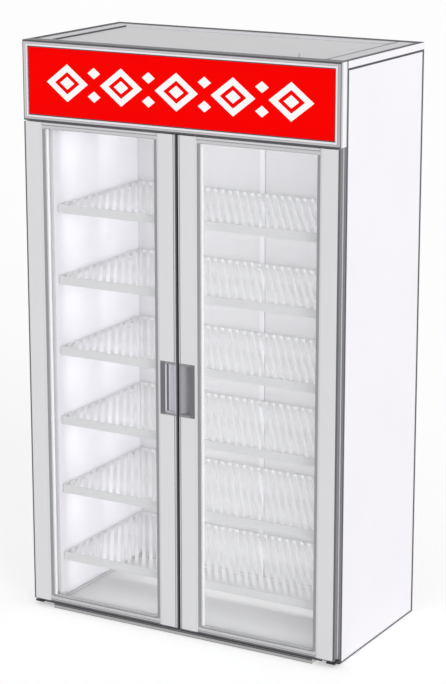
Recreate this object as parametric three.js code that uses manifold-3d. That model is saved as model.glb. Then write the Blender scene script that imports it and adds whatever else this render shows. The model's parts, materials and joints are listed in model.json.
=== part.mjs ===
// Floor-standing heated display case: two framed glass doors, six slatted shelves that let
// small pieces drop to a floor tray, and a lit sign box in front of a machine compartment.
// Millimetres, +Z up. The front faces -Y and the origin is on the floor, at the middle of the
// plan. A depth is measured back from the front plane of the doors and the sign box.

import * as THREE from 'three';
import { mergeVertices } from 'three/addons/utils/BufferGeometryUtils.js';
import Module from 'manifold-3d';

const wasm = await Module();
wasm.setup();

// Whole cabinet
const cabinetWidth = 1220;
const cabinetHeight = 2045;
const cabinetDepth = 615;
const headDepth = 47;
const headHeight = 276;

// Walls, deck and ceiling
const sidePanelThickness = 35;
const linerThickness = 50;
const backThickness = 18;
const ceilingThickness = 18;
const deckHeight = 16;
const sillHeight = 20;
const sillThickness = 3;
const sheet = 1.5;
const deckRibCount = 3;
const backRibCount = 3;

// Roof cap and its lift-out panel
const capHeight = 28;
const roofBorder = 82;
const roofFrontBorder = 7;
const roofRecess = 5;
const roofLedge = 15;
const roofFrontLedge = 4;
const roofPlay = 1;

// Slatted shelves
const shelfCount = 6;
const firstShelfTop = 194;
const topShelfExtra = 24;
const shelfSetback = 20;
const shelfSidePlay = 5;
const shelfBackPlay = 7;
const slatHeight = 6;
const slatPitch = 25.6;
const slatGap = 12.8;
const slatTurn = THREE.MathUtils.degToRad(32);
const shelfRim = 6;
const shelfFlange = 12;
const shelfFlangeThickness = 3;
const lipHeight = 30;
const lipThickness = 4;
const lipReturn = 14;
const smallestSlot = 40;

// What the shelves rest on
const ledgeReach = 13;
const ledgeLength = 26;
const ledgeThickness = 4;
const ledgeInset = 40;
const pilasterWidth = 20;
const pilasterThickness = 5;
const tongueReach = 24;
const tongueWidth = 12;

// Floor tray
const trayRim = 12;
const trayPlay = 4;

// Doors
const doorThickness = 36;
const doorSetback = 4;
const doorFloorGap = 7;
const doorHeadGap = 3;
const meetingHalfGap = 7;
const sealWidth = 5.5;
const sealInset = 4;
const sealDepth = 26;
const hingeFace = 60;
const pullFace = 62;
const beadWidth = 9;
const beadDrop = 2.5;
const stileWall = 3;
const hingeLip = 14;
const hingeStep = 4;
const pivotBlock = 30;
const railFace = 10;
const railWeb = 4;
const glassFront = 7;
const paneThickness = 4;
const spacerThickness = 12;
const glassBite = 10;
const glassPlay = 1;
const spacerInset = 8;
const spacerShow = 3;
const glazingWidth = 11;
const glazingDrop = 3;
const gasketInset = 20;
const gasketWidth = 12;
const gasketEndInset = 2;
const gasketPlay = 0.5;

// Pivots
const pivotInset = 18;
const pivotDepth = 18;
const pinRadius = 5;
const pinPlay = 0.1;
const pinReach = 22;
const pivotHoleDepth = 24;
const washerRadius = 10;
const bracketPlate = 6;
const bracketWidth = 33;
const bracketFront = 6;

// Recessed door pulls, their pocket's outline in shares of the pull's width and depth
const pullMargin = 1;
const pullHeight = 188;
const pullDepth = 28;
const pullMiddle = 891;
const pullEnd = 8;
const pocketMouthShares = [0.07, 0.68];
const pocketLipShare = 0.2;
const pocketCurveShares = [
  [[0.9, 0.22], [0.88, 0.52]],
  [[0.86, 0.86], [0.62, 0.85]],
  [[0.2, 0.76], [0.07, 0.1]],
];
const pocketCurveSteps = 6;

// Sign box
const signReturn = 12;
const signTrimWidth = 8;
const signTrimThickness = 3;
const signTrimPlay = 0.3;
const signPanelThickness = 3;
const signPanelLap = 4;
const lampRadius = 13;
const lampEndInset = 86;
const lampCapLength = 14;
const lampCapRadius = 12;
const holderThickness = 16;
const holderHeight = 40;
const holderPlay = 0.3;

// Blower above the ceiling
const blowerInset = 158;
const blowerHeight = 90;
const voluteGap = 12;
const voluteEndRadius = 150;
const voluteStartAngle = THREE.MathUtils.degToRad(60);
const voluteSteps = 20;
const outletReach = 175;
const inletRadius = 62;
const motorRadius = 52;
const motorHeight = 70;
const motorShoulder = 6;
const motorCapRadius = 34;
const motorCapHeight = 10;
const motorBoreDepth = 40;
const shaftRadius = 5;
const shaftPlay = 0.1;
const shaftHoleRadius = 8;
const shaftEndGap = 6;
const impellerRadius = 80;
const impellerEyeRadius = 60;
const impellerHeadroom = 14;
const impellerPlate = 3;
const impellerRing = 4;
const impellerLift = 5;
const hubRadius = 16;
const hubHeight = 20;
const bladeCount = 20;
const bladeThickness = 2;
const bladeBow = 7;
const bladeSteps = 3;
const bladeLap = 2;

// Heater in its duct
const ductSideGap = 5;
const ductShoulderInset = 107;
const ductEndPlay = 3;
const elementRadius = 5;
const elementBendRadius = 4.7;
const elementBendLap = 2;
const elementRuns = 4;
const elementEndInset = 70;
const elementPitch = 24;
const elementSides = 10;
const elementBendSteps = 8;
const elementBackInset = 22;
const elementLift = 45;
const leadReach = 15;
const elementLeadInset = 12;
const leadPlay = 0.3;

// Grilles
const inletSlotCount = 9;
const grilleSlotWidth = 8;
const supplySlotCount = 10;
const supplySlotBridge = 14;
const supplySlotInset = 25;
const louvreCount = 6;
const louvreLength = 180;
const louvrePitch = 20;
const louvreHalfSpan = 190;

// Control tray in the back panel
const controlSideInset = 165;
const controlWidth = 190;
const controlHeight = 110;
const controlRecess = 36;
const controlFlange = 10;
const rockerWidth = 17;
const rockerLength = 26;
const rockerTravel = THREE.MathUtils.degToRad(16);
const rockerFlank = 3;
const rockerCrown = 5.5;
const rockerRoot = 2.5;
const rockerPlay = 0.6;
const rockerEndPlay = 1.6;
const rockerHouse = 12;
const trunnionRadius = 1.5;
const trunnionLength = 22;
const trunnionPlay = 0.1;
const trunnionSides = 10;
const bezelBorder = 4;
const bezelThickness = 2;
const rockerShift = 50;
const knobShift = 48;
const knobRadius = 19;
const knobHeight = 14;
const knobTop = 16;
const knobLift = 2;
const spindleRadius = 3;
const spindlePlay = 0.1;
const spindleHoleRadius = 4;
const spindleLength = 26;
const pointerWidth = 3;
const pointerRise = 1.5;
const thermostatWidth = 46;
const thermostatDepth = 30;
const thermostatBore = 24;

// Cable gland on the roof panel
const glandSideInset = 184;
const glandFrontInset = 9;
const glandRadius = 5.5;
const glandBore = 2.5;
const glandHeight = 17;
const glandNut = 6;
const glandNeck = 4;
const glandPlay = 0.3;

// Shared by every cut and every round piece
const overrun = 1;
const roundSides = 24;
const largeRoundSides = 40;

// Places that follow from the sizes
const halfWidth = cabinetWidth / 2;
const frontY = -cabinetDepth / 2;
const panelInner = halfWidth - sidePanelThickness;
const wallInner = panelInner - linerThickness;
const backFront = cabinetDepth - backThickness;
const headBottom = cabinetHeight - headHeight;
const ceilingBottom = headBottom - ceilingThickness;
const capBottom = cabinetHeight - capHeight;
const doorBottom = deckHeight + doorFloorGap;
const doorHeight = headBottom - doorHeadGap - doorBottom;
const doorWidth = halfWidth - doorSetback - meetingHalfGap;
const glassBack = glassFront + paneThickness * 2 + spacerThickness;
const shelfPitch = (ceilingBottom - firstShelfTop - topShelfExtra) / shelfCount;
const pullWidth = pullFace - pullMargin;
const topPlateWidth = (pivotDepth - signTrimThickness) * 2;
const lampLength = cabinetWidth - lampEndInset * 2;
const lampDepth = (signTrimThickness + signPanelThickness + headDepth - sheet) / 2;
const compartmentMiddle = (headBottom + capBottom) / 2;
const machineBase = ceilingBottom + sheet;
const blowerTop = machineBase + blowerHeight;
const blowerDepth = headDepth + blowerInset;
const voluteStartRadius = impellerRadius + voluteGap;
const blowerX = -(voluteEndRadius + voluteStartRadius * Math.cos(voluteStartAngle)) / 2;
const outletDepth = blowerDepth + outletReach;
const impellerHeight = blowerHeight - sheet * 2 - impellerLift - impellerHeadroom;
const shaftLength = motorBoreDepth - shaftEndGap;
const controlCentre = panelInner - controlSideInset;
const ductHalfWidth = controlCentre - controlWidth / 2 - controlFlange - ductSideGap;
const elementHalfLength = ductHalfWidth - elementEndInset;
const glandX = halfWidth - glandSideInset;
const glandDepth = headDepth + roofFrontBorder + roofFrontLedge + glandFrontInset;

// Finishes
function finish(color, roughness, metalness) {
  return { color, roughness, metalness, flatShading: true };
}
const whitePaint = finish(0xfbf9fe, 0.45, 0);
const palePaint = finish(0xdcdcde, 0.5, 0);
const greyPaint = finish(0xc9c9c9, 0.5, 0.1);
const anodised = finish(0xdcdcde, 0.35, 0.6);
const galvanised = finish(0xb4b8bb, 0.45, 0.8);
const darkSteel = finish(0x35363a, 0.5, 0.7);
const rubber = finish(0x2a2a2c, 0.8, 0);
const greyRubber = finish(0x96969a, 0.8, 0);
const greyPlastic = finish(0x88888c, 0.45, 0);
const blackPlastic = finish(0x1c1c1e, 0.4, 0);
const signRed = finish(0xfe0200, 0.3, 0);
const glassTint = finish(0xe8eef0, 0.05, 0);
const lampGlass = finish(0xf6f6f2, 0.3, 0);
const heaterSheath = finish(0x6a5c50, 0.5, 0.7);

// A depth behind the front plane as a Y, and a span of depths
function deep(depth) {
  return frontY + depth;
}

function between(near, far) {
  return [deep(near), deep(far)];
}

// A span of one size about a middle
function around(middle, size) {
  return [middle - size / 2, middle + size / 2];
}

// A span that a cut runs past at both ends
function through([start, end]) {
  return [start - overrun, end + overrun];
}

// Solid helpers: three.js makes each form, and cuts and joins are made on closed solids
function solid(geometry) {
  geometry.deleteAttribute('normal');
  geometry.deleteAttribute('uv');
  const welded = mergeVertices(geometry);
  return new wasm.Manifold(new wasm.Mesh({
    numProp: 3,
    vertProperties: welded.attributes.position.array,
    triVerts: Uint32Array.from(welded.index.array),
  }));
}

function joined(bodies) {
  return bodies.reduce((whole, body) => whole.add(body));
}

function cut(body, tools) {
  return tools.reduce((rest, tool) => rest.subtract(tool), body);
}

function box([x0, x1], [y0, y1], [z0, z1]) {
  const geometry = new THREE.BoxGeometry(Math.abs(x1 - x0), Math.abs(y1 - y0), Math.abs(z1 - z0));
  geometry.translate((x0 + x1) / 2, (y0 + y1) / 2, (z0 + z1) / 2);
  return solid(geometry);
}

function extruded(outline, length) {
  const shape = new THREE.Shape(outline.map(([a, b]) => new THREE.Vector2(a, b)));
  return new THREE.ExtrudeGeometry(shape, { depth: length, bevelEnabled: false });
}

// An outline in X and Y, drawn upwards
function upright(outline, [z0, z1]) {
  const geometry = extruded(outline, z1 - z0);
  geometry.translate(0, 0, z0);
  return solid(geometry);
}

// An outline in Y and Z, drawn along X
function sideways(outline, [x0, x1]) {
  const geometry = extruded(outline, x1 - x0);
  geometry.applyMatrix4(new THREE.Matrix4().makeBasis(
    new THREE.Vector3(0, 1, 0), new THREE.Vector3(0, 0, 1), new THREE.Vector3(1, 0, 0)));
  geometry.translate(x0, 0, 0);
  return solid(geometry);
}

// An outline in X and Z, drawn along Y
function facing(outline, [y0, y1]) {
  const geometry = extruded(outline, y1 - y0);
  geometry.applyMatrix4(new THREE.Matrix4().makeBasis(
    new THREE.Vector3(1, 0, 0), new THREE.Vector3(0, 0, 1), new THREE.Vector3(0, -1, 0)));
  geometry.translate(0, y1, 0);
  return solid(geometry);
}

function rectangle([a0, a1], [b0, b1]) {
  return [[a0, b0], [a1, b0], [a1, b1], [a0, b1]];
}

// A flat frame in X and Z with a rectangular window
function frame([x0, x1], [y0, y1], [z0, z1], sideBar, endBar) {
  const window = box([x0 + sideBar, x1 - sideBar], through([y0, y1]), [z0 + endBar, z1 - endBar]);
  return box([x0, x1], [y0, y1], [z0, z1]).subtract(window);
}

function rod(radius, [x, y], [z0, z1], sides = roundSides) {
  const geometry = new THREE.CylinderGeometry(radius, radius, z1 - z0, sides);
  geometry.rotateX(Math.PI / 2);
  geometry.translate(x, y, (z0 + z1) / 2);
  return solid(geometry);
}

function rodAlongX(radius, [x0, x1], [y, z], sides = roundSides) {
  const geometry = new THREE.CylinderGeometry(radius, radius, x1 - x0, sides);
  geometry.rotateZ(Math.PI / 2);
  geometry.translate((x0 + x1) / 2, y, z);
  return solid(geometry);
}

function rodAlongY(radius, [y0, y1], [x, z], sides = roundSides) {
  const geometry = new THREE.CylinderGeometry(radius, radius, y1 - y0, sides);
  geometry.translate(x, (y0 + y1) / 2, z);
  return solid(geometry);
}

// A profile of radius and height, turned about Z
function turned(profile, [x, y], z, sides = roundSides) {
  const points = profile.map(([radius, height]) => new THREE.Vector2(radius, height));
  const geometry = new THREE.LatheGeometry([...points, points[0]], sides);
  geometry.rotateX(Math.PI / 2);
  geometry.translate(x, y, z);
  return solid(geometry);
}

function place(group, name, body, surface, position = [0, 0, 0]) {
  const mesh = body.getMesh();
  const geometry = new THREE.BufferGeometry();
  geometry.setAttribute('position', new THREE.BufferAttribute(mesh.vertProperties, 3));
  geometry.setIndex(new THREE.BufferAttribute(mesh.triVerts, 1));
  const node = new THREE.Mesh(geometry, new THREE.MeshStandardMaterial(surface));
  node.name = name;
  node.position.set(...position);
  group.add(node);
}

const sides = [{ side: -1, hand: 'left' }, { side: 1, hand: 'right' }];

// Body: side panels, liners, back, deck, tray, ceiling and roof

// A side panel is a folded pan, open towards the cabinet
function sidePanel(side) {
  const pan = box([side * panelInner, side * halfWidth], between(headDepth, cabinetDepth), [0, capBottom]);
  const hollow = box(
    [side * (panelInner - overrun), side * (halfWidth - sheet)],
    between(headDepth + sheet, cabinetDepth - sheet),
    [sheet, capBottom - sheet],
  );
  return pan.subtract(hollow);
}

function shelfTop(index) {
  return firstShelfTop + index * shelfPitch;
}

// Depths of the front and the rear ledge under each shelf end
function ledgeDepths() {
  const first = headDepth + shelfSetback + ledgeInset;
  const last = backFront - shelfBackPlay - ledgeInset - ledgeLength;
  return [first, last];
}

// A liner is the inner wall, a pan open towards the side panel, with a pair of ledges pressed
// out for each shelf
function liner(side) {
  const thickness = [side * wallInner, side * panelInner];
  const pan = box(thickness, between(headDepth, backFront), [deckHeight, ceilingBottom]);
  const hollow = box(
    [side * (wallInner + sheet), side * (panelInner + overrun)],
    between(headDepth + sheet, backFront - sheet),
    [deckHeight + sheet, ceilingBottom - sheet],
  );
  const wall = pan.subtract(hollow);
  const ledges = [];
  for (let index = 0; index < shelfCount; index += 1) {
    const seat = shelfTop(index) - shelfFlange;
    for (const depth of ledgeDepths()) {
      const tip = wallInner - ledgeReach;
      const wedge = [
        [side * (wallInner + overrun), seat - ledgeReach - ledgeThickness],
        [side * wallInner, seat - ledgeReach - ledgeThickness],
        [side * tip, seat - ledgeThickness],
        [side * tip, seat],
        [side * (wallInner + overrun), seat],
      ];
      ledges.push(facing(wedge, between(depth, depth + ledgeLength)));
    }
  }
  return joined([wall, ...ledges]);
}

// Equal pockets side by side in a pan of this width, with a rib of sheet between neighbours
function pockets(ribs, width, depths, heights) {
  const pitch = (width - sheet) / (ribs + 1);
  const hollows = [];
  for (let index = 0; index <= ribs; index += 1) {
    const start = sheet - width / 2 + index * pitch;
    hollows.push(box([start, start + pitch - sheet], depths, heights));
  }
  return hollows;
}

// The back panel is a ribbed pan behind the cabin, and one sheet with louvres behind the machinery
function backPanel() {
  const panel = box(around(0, panelInner * 2), between(backFront + sheet, cabinetDepth), [0, capBottom]);
  const hollow = between(backFront, cabinetDepth - sheet);
  const sheetDepth = through(between(cabinetDepth - sheet, cabinetDepth));
  const openings = [
    ...pockets(backRibCount, panelInner * 2, hollow, [sheet, headBottom]),
    ...pockets(0, panelInner * 2, hollow, [headBottom + sheet, capBottom - sheet]),
    box(around(controlCentre, controlWidth), sheetDepth, around(compartmentMiddle, controlHeight)),
  ];
  for (const centre of [-louvreHalfSpan, louvreHalfSpan / 2]) {
    for (let row = 0; row < louvreCount; row += 1) {
      const z = compartmentMiddle + (row - (louvreCount - 1) / 2) * louvrePitch;
      openings.push(box(around(centre, louvreLength), sheetDepth, around(z, grilleSlotWidth)));
    }
  }
  return cut(panel, openings);
}

// The cabin's back wall is a flat sheet on the back panel's ribs
function backLiner() {
  return box(around(0, panelInner * 2), between(backFront, backFront + sheet), [deckHeight, headBottom]);
}

// The deck is a folded pan with a nosing that runs forward under the doors, and a low sill
function baseDeck() {
  const outline = [
    [-wallInner, deep(0)], [wallInner, deep(0)], [wallInner, deep(headDepth)], [panelInner, deep(headDepth)],
    [panelInner, deep(backFront)], [-panelInner, deep(backFront)], [-panelInner, deep(headDepth)],
    [-wallInner, deep(headDepth)],
  ];
  const pan = upright(outline, [0, deckHeight]);
  const sill = box(
    [-wallInner, wallInner],
    between(headDepth, headDepth + sillThickness),
    [deckHeight - overrun, deckHeight + sillHeight],
  );
  const heights = [-overrun, deckHeight - sheet];
  const hollows = [
    ...pockets(0, wallInner * 2, between(sheet, headDepth), heights),
    ...pockets(deckRibCount, panelInner * 2, between(headDepth + sheet, backFront - sheet), heights),
  ];
  return cut(joined([pan, sill]), hollows);
}

function floorTray() {
  const reach = wallInner - trayPlay;
  const depths = between(headDepth + sillThickness + trayPlay, backFront - pilasterThickness - trayPlay);
  const pan = box([-reach, reach], depths, [deckHeight, deckHeight + trayRim]);
  const hollow = box(
    [sheet - reach, reach - sheet],
    [depths[0] + sheet, depths[1] - sheet],
    [deckHeight + sheet, deckHeight + trayRim + overrun],
  );
  return pan.subtract(hollow);
}

// The ceiling is a pan, open upwards, with a return grille under the blower and supply slots
// along the back
function ceilingPanel() {
  const pan = box([-panelInner, panelInner], between(headDepth, backFront), [ceilingBottom, headBottom]);
  const hollow = pockets(
    0, panelInner * 2, between(headDepth + sheet, backFront - sheet), [machineBase, headBottom + overrun],
  );
  const wholeHeight = through([ceilingBottom, machineBase]);
  const slots = [];
  for (let index = 0; index < inletSlotCount; index += 1) {
    const offset = (index - (inletSlotCount - 1) / 2) * inletRadius * 2 / inletSlotCount;
    const reach = Math.sqrt(inletRadius ** 2 - offset ** 2);
    const length = between(blowerDepth - reach, blowerDepth + reach);
    slots.push(box(around(blowerX + offset, grilleSlotWidth), length, wholeHeight));
  }
  const pitch = ductHalfWidth * 2 / supplySlotCount;
  for (let index = 0; index < supplySlotCount; index += 1) {
    const centre = (index - (supplySlotCount - 1) / 2) * pitch;
    slots.push(box(
      around(centre, pitch - supplySlotBridge),
      around(deep(backFront - supplySlotInset), grilleSlotWidth),
      wholeHeight,
    ));
  }
  return cut(pan, [...hollow, ...slots]);
}

// The roof cap is a folded lid whose skirt stands flush on the side panels
function roofCap() {
  const lid = box([-halfWidth, halfWidth], between(headDepth, cabinetDepth), [capBottom, cabinetHeight]);
  const hollow = box(
    [sheet - halfWidth, halfWidth - sheet],
    between(headDepth + sheet, cabinetDepth - sheet),
    [capBottom - overrun, cabinetHeight - sheet],
  );
  const openX = halfWidth - roofBorder;
  const openDepths = [headDepth + roofFrontBorder, cabinetDepth - roofBorder];
  const opening = box([-openX, openX], between(...openDepths), [capBottom, cabinetHeight + overrun]);
  const seat = cabinetHeight - roofRecess - sheet;
  const ledge = box(
    [-openX - sheet, openX + sheet], between(openDepths[0] - sheet, openDepths[1] + sheet),
    [seat - sheet, cabinetHeight - sheet],
  );
  const ledgeHole = box(
    [roofLedge - openX, openX - roofLedge],
    between(openDepths[0] + roofFrontLedge, openDepths[1] - roofLedge),
    [seat - sheet - overrun, cabinetHeight],
  );
  const aboveSeat = box([-openX, openX], between(...openDepths), [seat, cabinetHeight + overrun]);
  const rim = lid.subtract(hollow).subtract(opening);
  return cut(rim.add(ledge), [ledgeHole, aboveSeat]);
}

function roofPanel() {
  const reach = halfWidth - roofBorder - roofPlay;
  const seat = cabinetHeight - roofRecess - sheet;
  const plate = box(
    [-reach, reach],
    between(headDepth + roofFrontBorder + roofPlay, cabinetDepth - roofBorder - roofPlay),
    [seat, seat + sheet],
  );
  const hole = rod(glandNeck + glandPlay, [glandX, deep(glandDepth)], through([seat, seat + sheet]));
  return plate.subtract(hole);
}

function roofGland() {
  const seat = cabinetHeight - roofRecess;
  const profile = [
    [glandBore, -glandNut], [glandNeck, -glandNut], [glandNeck, 0], [glandRadius, 0],
    [glandRadius, glandHeight - glandNut], [glandNeck, glandHeight], [glandBore, glandHeight],
  ];
  return turned(profile, [glandX, deep(glandDepth)], seat);
}

// The middle pilaster stands on the back panel, with a tongue under the back edge of each shelf
function centrePilaster() {
  const strip = box(
    around(0, pilasterWidth),
    between(backFront - pilasterThickness, backFront),
    [deckHeight, ceilingBottom],
  );
  const tongues = [];
  for (let index = 0; index < shelfCount; index += 1) {
    const seat = shelfTop(index) - shelfFlange;
    const wedge = [
      [deep(backFront - overrun), seat], [deep(backFront - tongueReach), seat],
      [deep(backFront - tongueReach), seat - ledgeThickness],
      [deep(backFront - pilasterThickness), seat - ledgeThickness - tongueReach / 2],
      [deep(backFront - overrun), seat - ledgeThickness - tongueReach / 2],
    ];
    tongues.push(sideways(wedge, around(0, tongueWidth)));
  }
  return joined([strip, ...tongues]);
}

// Slatted shelf

// The part of an outline on the near side of a line with this normal and offset
function clipped(outline, [nx, ny], offset) {
  const kept = [];
  outline.forEach((point, index) => {
    const next = outline[(index + 1) % outline.length];
    const here = nx * point[0] + ny * point[1] - offset;
    const there = nx * next[0] + ny * next[1] - offset;
    if (here <= 0) kept.push(point);
    if (here * there < 0) {
      const share = here / (here - there);
      kept.push([point[0] + (next[0] - point[0]) * share, point[1] + (next[1] - point[1]) * share]);
    }
  });
  return kept;
}

function area(outline) {
  const turns = outline.map(([x, y], index) => {
    const [nextX, nextY] = outline[(index + 1) % outline.length];
    return x * nextY - nextX * y;
  });
  return Math.abs(turns.reduce((sum, turn) => sum + turn, 0)) / 2;
}

// Slots run from front right to back left, clipped to the rim that the slats end in
function slots(deckX, deckY) {
  const inner = rectangle(...[deckX, deckY].map(([start, end]) => [start + shelfRim, end - shelfRim]));
  const normal = [Math.cos(slatTurn), Math.sin(slatTurn)];
  const reach = Math.hypot(deckX[1] - deckX[0], deckY[1] - deckY[0]) / 2;
  const count = Math.ceil(reach / slatPitch);
  const found = [];
  for (let index = -count; index <= count; index += 1) {
    const middle = index * slatPitch;
    const below = clipped(inner, normal, middle + slatGap / 2);
    const slot = clipped(below, normal.map((value) => -value), slatGap / 2 - middle);
    if (slot.length > 2 && area(slot) > smallestSlot) found.push(slot);
  }
  return found;
}

// A shelf about its own middle, its deck's top at height zero
function shelf() {
  const halfLength = wallInner - shelfSidePlay;
  const depth = backFront - shelfBackPlay - headDepth - shelfSetback;
  const deckX = [-halfLength, halfLength];
  const deckY = [-depth / 2, depth / 2];
  const openings = slots(deckX, deckY).map((slot) => upright(slot, through([-slatHeight, 0])));
  const deck = cut(box(deckX, deckY, [-slatHeight, 0]), openings);
  const lip = sideways([
    [deckY[0], 0], [deckY[0] + lipThickness, 0],
    [deckY[0] + lipThickness, lipThickness - lipHeight], [deckY[0] + lipReturn, lipThickness - lipHeight],
    [deckY[0] + lipReturn, -lipHeight], [deckY[0], -lipHeight],
  ], deckX);
  const ends = sides.map(({ side }) => box(
    [side * halfLength, side * (halfLength - shelfFlangeThickness)],
    [deckY[0] + lipThickness, deckY[1]],
    [-shelfFlange, -slatHeight / 2],
  ));
  const back = box(deckX, [deckY[1] - shelfFlangeThickness, deckY[1]], [-shelfFlange, -slatHeight / 2]);
  return joined([deck, lip, ...ends, back]);
}

// Sign box, its red panel and its lamp

function signBox() {
  const shell = box([-halfWidth, halfWidth], between(0, headDepth), [headBottom, cabinetHeight]);
  const hollow = box(
    [sheet - halfWidth, halfWidth - sheet],
    between(sheet, headDepth + overrun),
    [headBottom + sheet, cabinetHeight - sheet],
  );
  const window = box(
    [signReturn - halfWidth, halfWidth - signReturn],
    between(-overrun, sheet + overrun),
    [headBottom + signReturn, cabinetHeight - signReturn],
  );
  const pins = sides.map(({ side }) => rod(
    pinRadius + pinPlay,
    [side * (halfWidth - doorSetback - pivotInset), deep(pivotDepth)],
    through([headBottom, headBottom + sheet]),
  ));
  return cut(shell, [hollow, window, ...pins]);
}

function signTrim() {
  const inset = signReturn + signTrimPlay;
  return frame(
    [inset - halfWidth, halfWidth - inset],
    between(0, signTrimThickness),
    [headBottom + inset, cabinetHeight - inset],
    signTrimWidth,
    signTrimWidth,
  );
}

function signPanel() {
  const inset = signReturn + signTrimPlay + signPanelLap;
  return box(
    [inset - halfWidth, halfWidth - inset],
    between(signTrimThickness, signTrimThickness + signPanelThickness),
    [headBottom + inset, cabinetHeight - inset],
  );
}

function lampMiddle() {
  return (headBottom + cabinetHeight) / 2;
}

// The reflector closes the back of the sign box and carries a lamp holder at each end
function signReflector() {
  const plate = box(
    [sheet - halfWidth, halfWidth - sheet],
    between(headDepth - sheet, headDepth),
    [headBottom + sheet, cabinetHeight - sheet],
  );
  const holders = sides.map(({ side }) => {
    const start = lampLength / 2 + holderPlay;
    return box(
      [side * start, side * (start + holderThickness)],
      between(lampDepth - lampRadius, headDepth - sheet / 2),
      around(lampMiddle(), holderHeight),
    );
  });
  return joined([plate, ...holders]);
}

function signLamp() {
  const axis = [deep(lampDepth), lampMiddle()];
  const half = lampLength / 2;
  const tube = rodAlongX(lampRadius, [lampCapLength - half, half - lampCapLength], axis);
  const caps = rodAlongX(lampCapRadius, [-half, half], axis);
  return tube.add(caps);
}

// Pivots that carry the doors

function topPivot(side) {
  const x = side * (halfWidth - doorSetback - pivotInset);
  const plateBottom = headBottom + sheet;
  const plate = box(
    around(x, topPlateWidth),
    around(deep(pivotDepth), topPlateWidth),
    [plateBottom, plateBottom + bracketPlate],
  );
  const pinSpan = [headBottom - doorHeadGap - pinReach, plateBottom + bracketPlate];
  const pin = rod(pinRadius, [x, deep(pivotDepth)], pinSpan);
  return plate.add(pin);
}

function bottomBracket(side) {
  const x = side * (halfWidth - doorSetback - pivotInset);
  const outer = halfWidth - sheet;
  const across = [side * (outer - bracketWidth), side * outer];
  const arm = box(across, between(bracketFront, headDepth), [deckHeight - bracketPlate, deckHeight]);
  const leg = box(across, between(headDepth - bracketPlate, headDepth), [0, deckHeight]);
  const pin = rod(pinRadius, [x, deep(pivotDepth)], [deckHeight - bracketPlate, doorBottom + pinReach]);
  const washer = rod(washerRadius, [x, deep(pivotDepth)], [deckHeight - overrun, doorBottom]);
  return joined([arm, leg, pin, washer]);
}

// Doors. Each is a group at its pivot. A width is measured from the hinge edge, and a stile's
// own width from its outer edge.

function doorAcross(side, width) {
  return -side * (width - pivotInset);
}

function doorBack(depth) {
  return depth - pivotDepth;
}

// Its outer side is given from the back of the door to the front
function stileSection(face, outerSide) {
  const inner = face + beadWidth;
  return [
    [face, 0], [inner, beadDrop], [inner, glassFront], [inner - glassBite, glassFront],
    [inner - glassBite, glassBack], [inner, glassBack], [inner, doorThickness], ...outerSide,
  ];
}

function stile(side, face, outerSide, chamberStart, fromHinge) {
  const toDoor = ([width, depth]) => [
    doorAcross(side, fromHinge ? width : doorWidth - width), doorBack(depth),
  ];
  const chamber = rectangle([chamberStart, face - stileWall], [stileWall, doorThickness - stileWall]);
  const body = upright(stileSection(face, outerSide).map(toDoor), [0, doorHeight]);
  return body.subtract(upright(chamber.map(toDoor), through([0, doorHeight])));
}

// The hinge stile steps in behind its front lip, so that the door can turn past the side panel
function hingeStile(side) {
  const stepped = [[hingeStep, doorThickness], [hingeStep, hingeLip], [0, hingeLip], [0, 0]];
  const spans = [[-overrun, pivotHoleDepth], [doorHeight - pivotHoleDepth, doorHeight + overrun]];
  const holes = spans.map((span) => rod(pinRadius + pinPlay, [0, 0], span));
  return cut(stile(side, hingeFace, stepped, pivotBlock, true), holes);
}

function pullSpan() {
  const middle = pullMiddle - doorBottom;
  return [middle - pullHeight / 2, middle + pullHeight / 2];
}

function pullStile(side) {
  const plain = [[0, doorThickness], [0, 0]];
  const notch = box(
    [doorAcross(side, doorWidth - pullWidth), doorAcross(side, doorWidth + overrun)],
    [doorBack(-overrun), doorBack(pullDepth)],
    pullSpan(),
  );
  return stile(side, pullFace, plain, stileWall, false).subtract(notch);
}

// The pull is a moulding with a scooped pocket that runs under a grip bar on its hinge side
function pull(side) {
  const [low, high] = pullSpan();
  const toDoor = (share) => [
    doorAcross(side, doorWidth - share[0] * pullWidth), doorBack(share[1] * pullDepth),
  ];
  const front = -overrun / pullDepth;
  const path = new THREE.Path();
  path.moveTo(pocketMouthShares[0], front);
  path.lineTo(pocketMouthShares[1], front);
  path.lineTo(pocketMouthShares[1], pocketLipShare);
  for (const [control, end] of pocketCurveShares) path.quadraticCurveTo(...control, ...end);
  const pocket = path.getPoints(pocketCurveSteps).map((point) => toDoor([point.x, point.y]));
  const block = box(
    [doorAcross(side, doorWidth - pullWidth), doorAcross(side, doorWidth)],
    [doorBack(0), doorBack(pullDepth)],
    [low, high],
  );
  return block.subtract(upright(pocket, [low + pullEnd, high - pullEnd]));
}

// Rails butt against the stiles, so they run between the stiles' inner faces
function rail(side, atTop) {
  const outer = atTop ? doorHeight : 0;
  const inward = atTop ? -1 : 1;
  const section = [
    [0, 0], [railFace, 0], [railFace, glassFront], [railWeb, glassFront], [railWeb, glassBack],
    [railFace, glassBack], [railFace, doorThickness], [0, doorThickness],
  ].map(([height, depth]) => [doorBack(depth), outer + inward * height]);
  return sideways(section, doorField(side, 0));
}

// A rectangle inside the door, set in from the stiles' bead edges and from the rails' edges
function doorField(side, inset) {
  const ends = [
    doorAcross(side, hingeFace + beadWidth + inset),
    doorAcross(side, doorWidth - pullFace - beadWidth - inset),
  ];
  return [Math.min(...ends), Math.max(...ends)];
}

function pane(side, front) {
  return box(
    doorField(side, glassPlay - glassBite),
    [doorBack(front), doorBack(front + paneThickness)],
    [railWeb + glassPlay, doorHeight - railWeb - glassPlay],
  );
}

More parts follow.
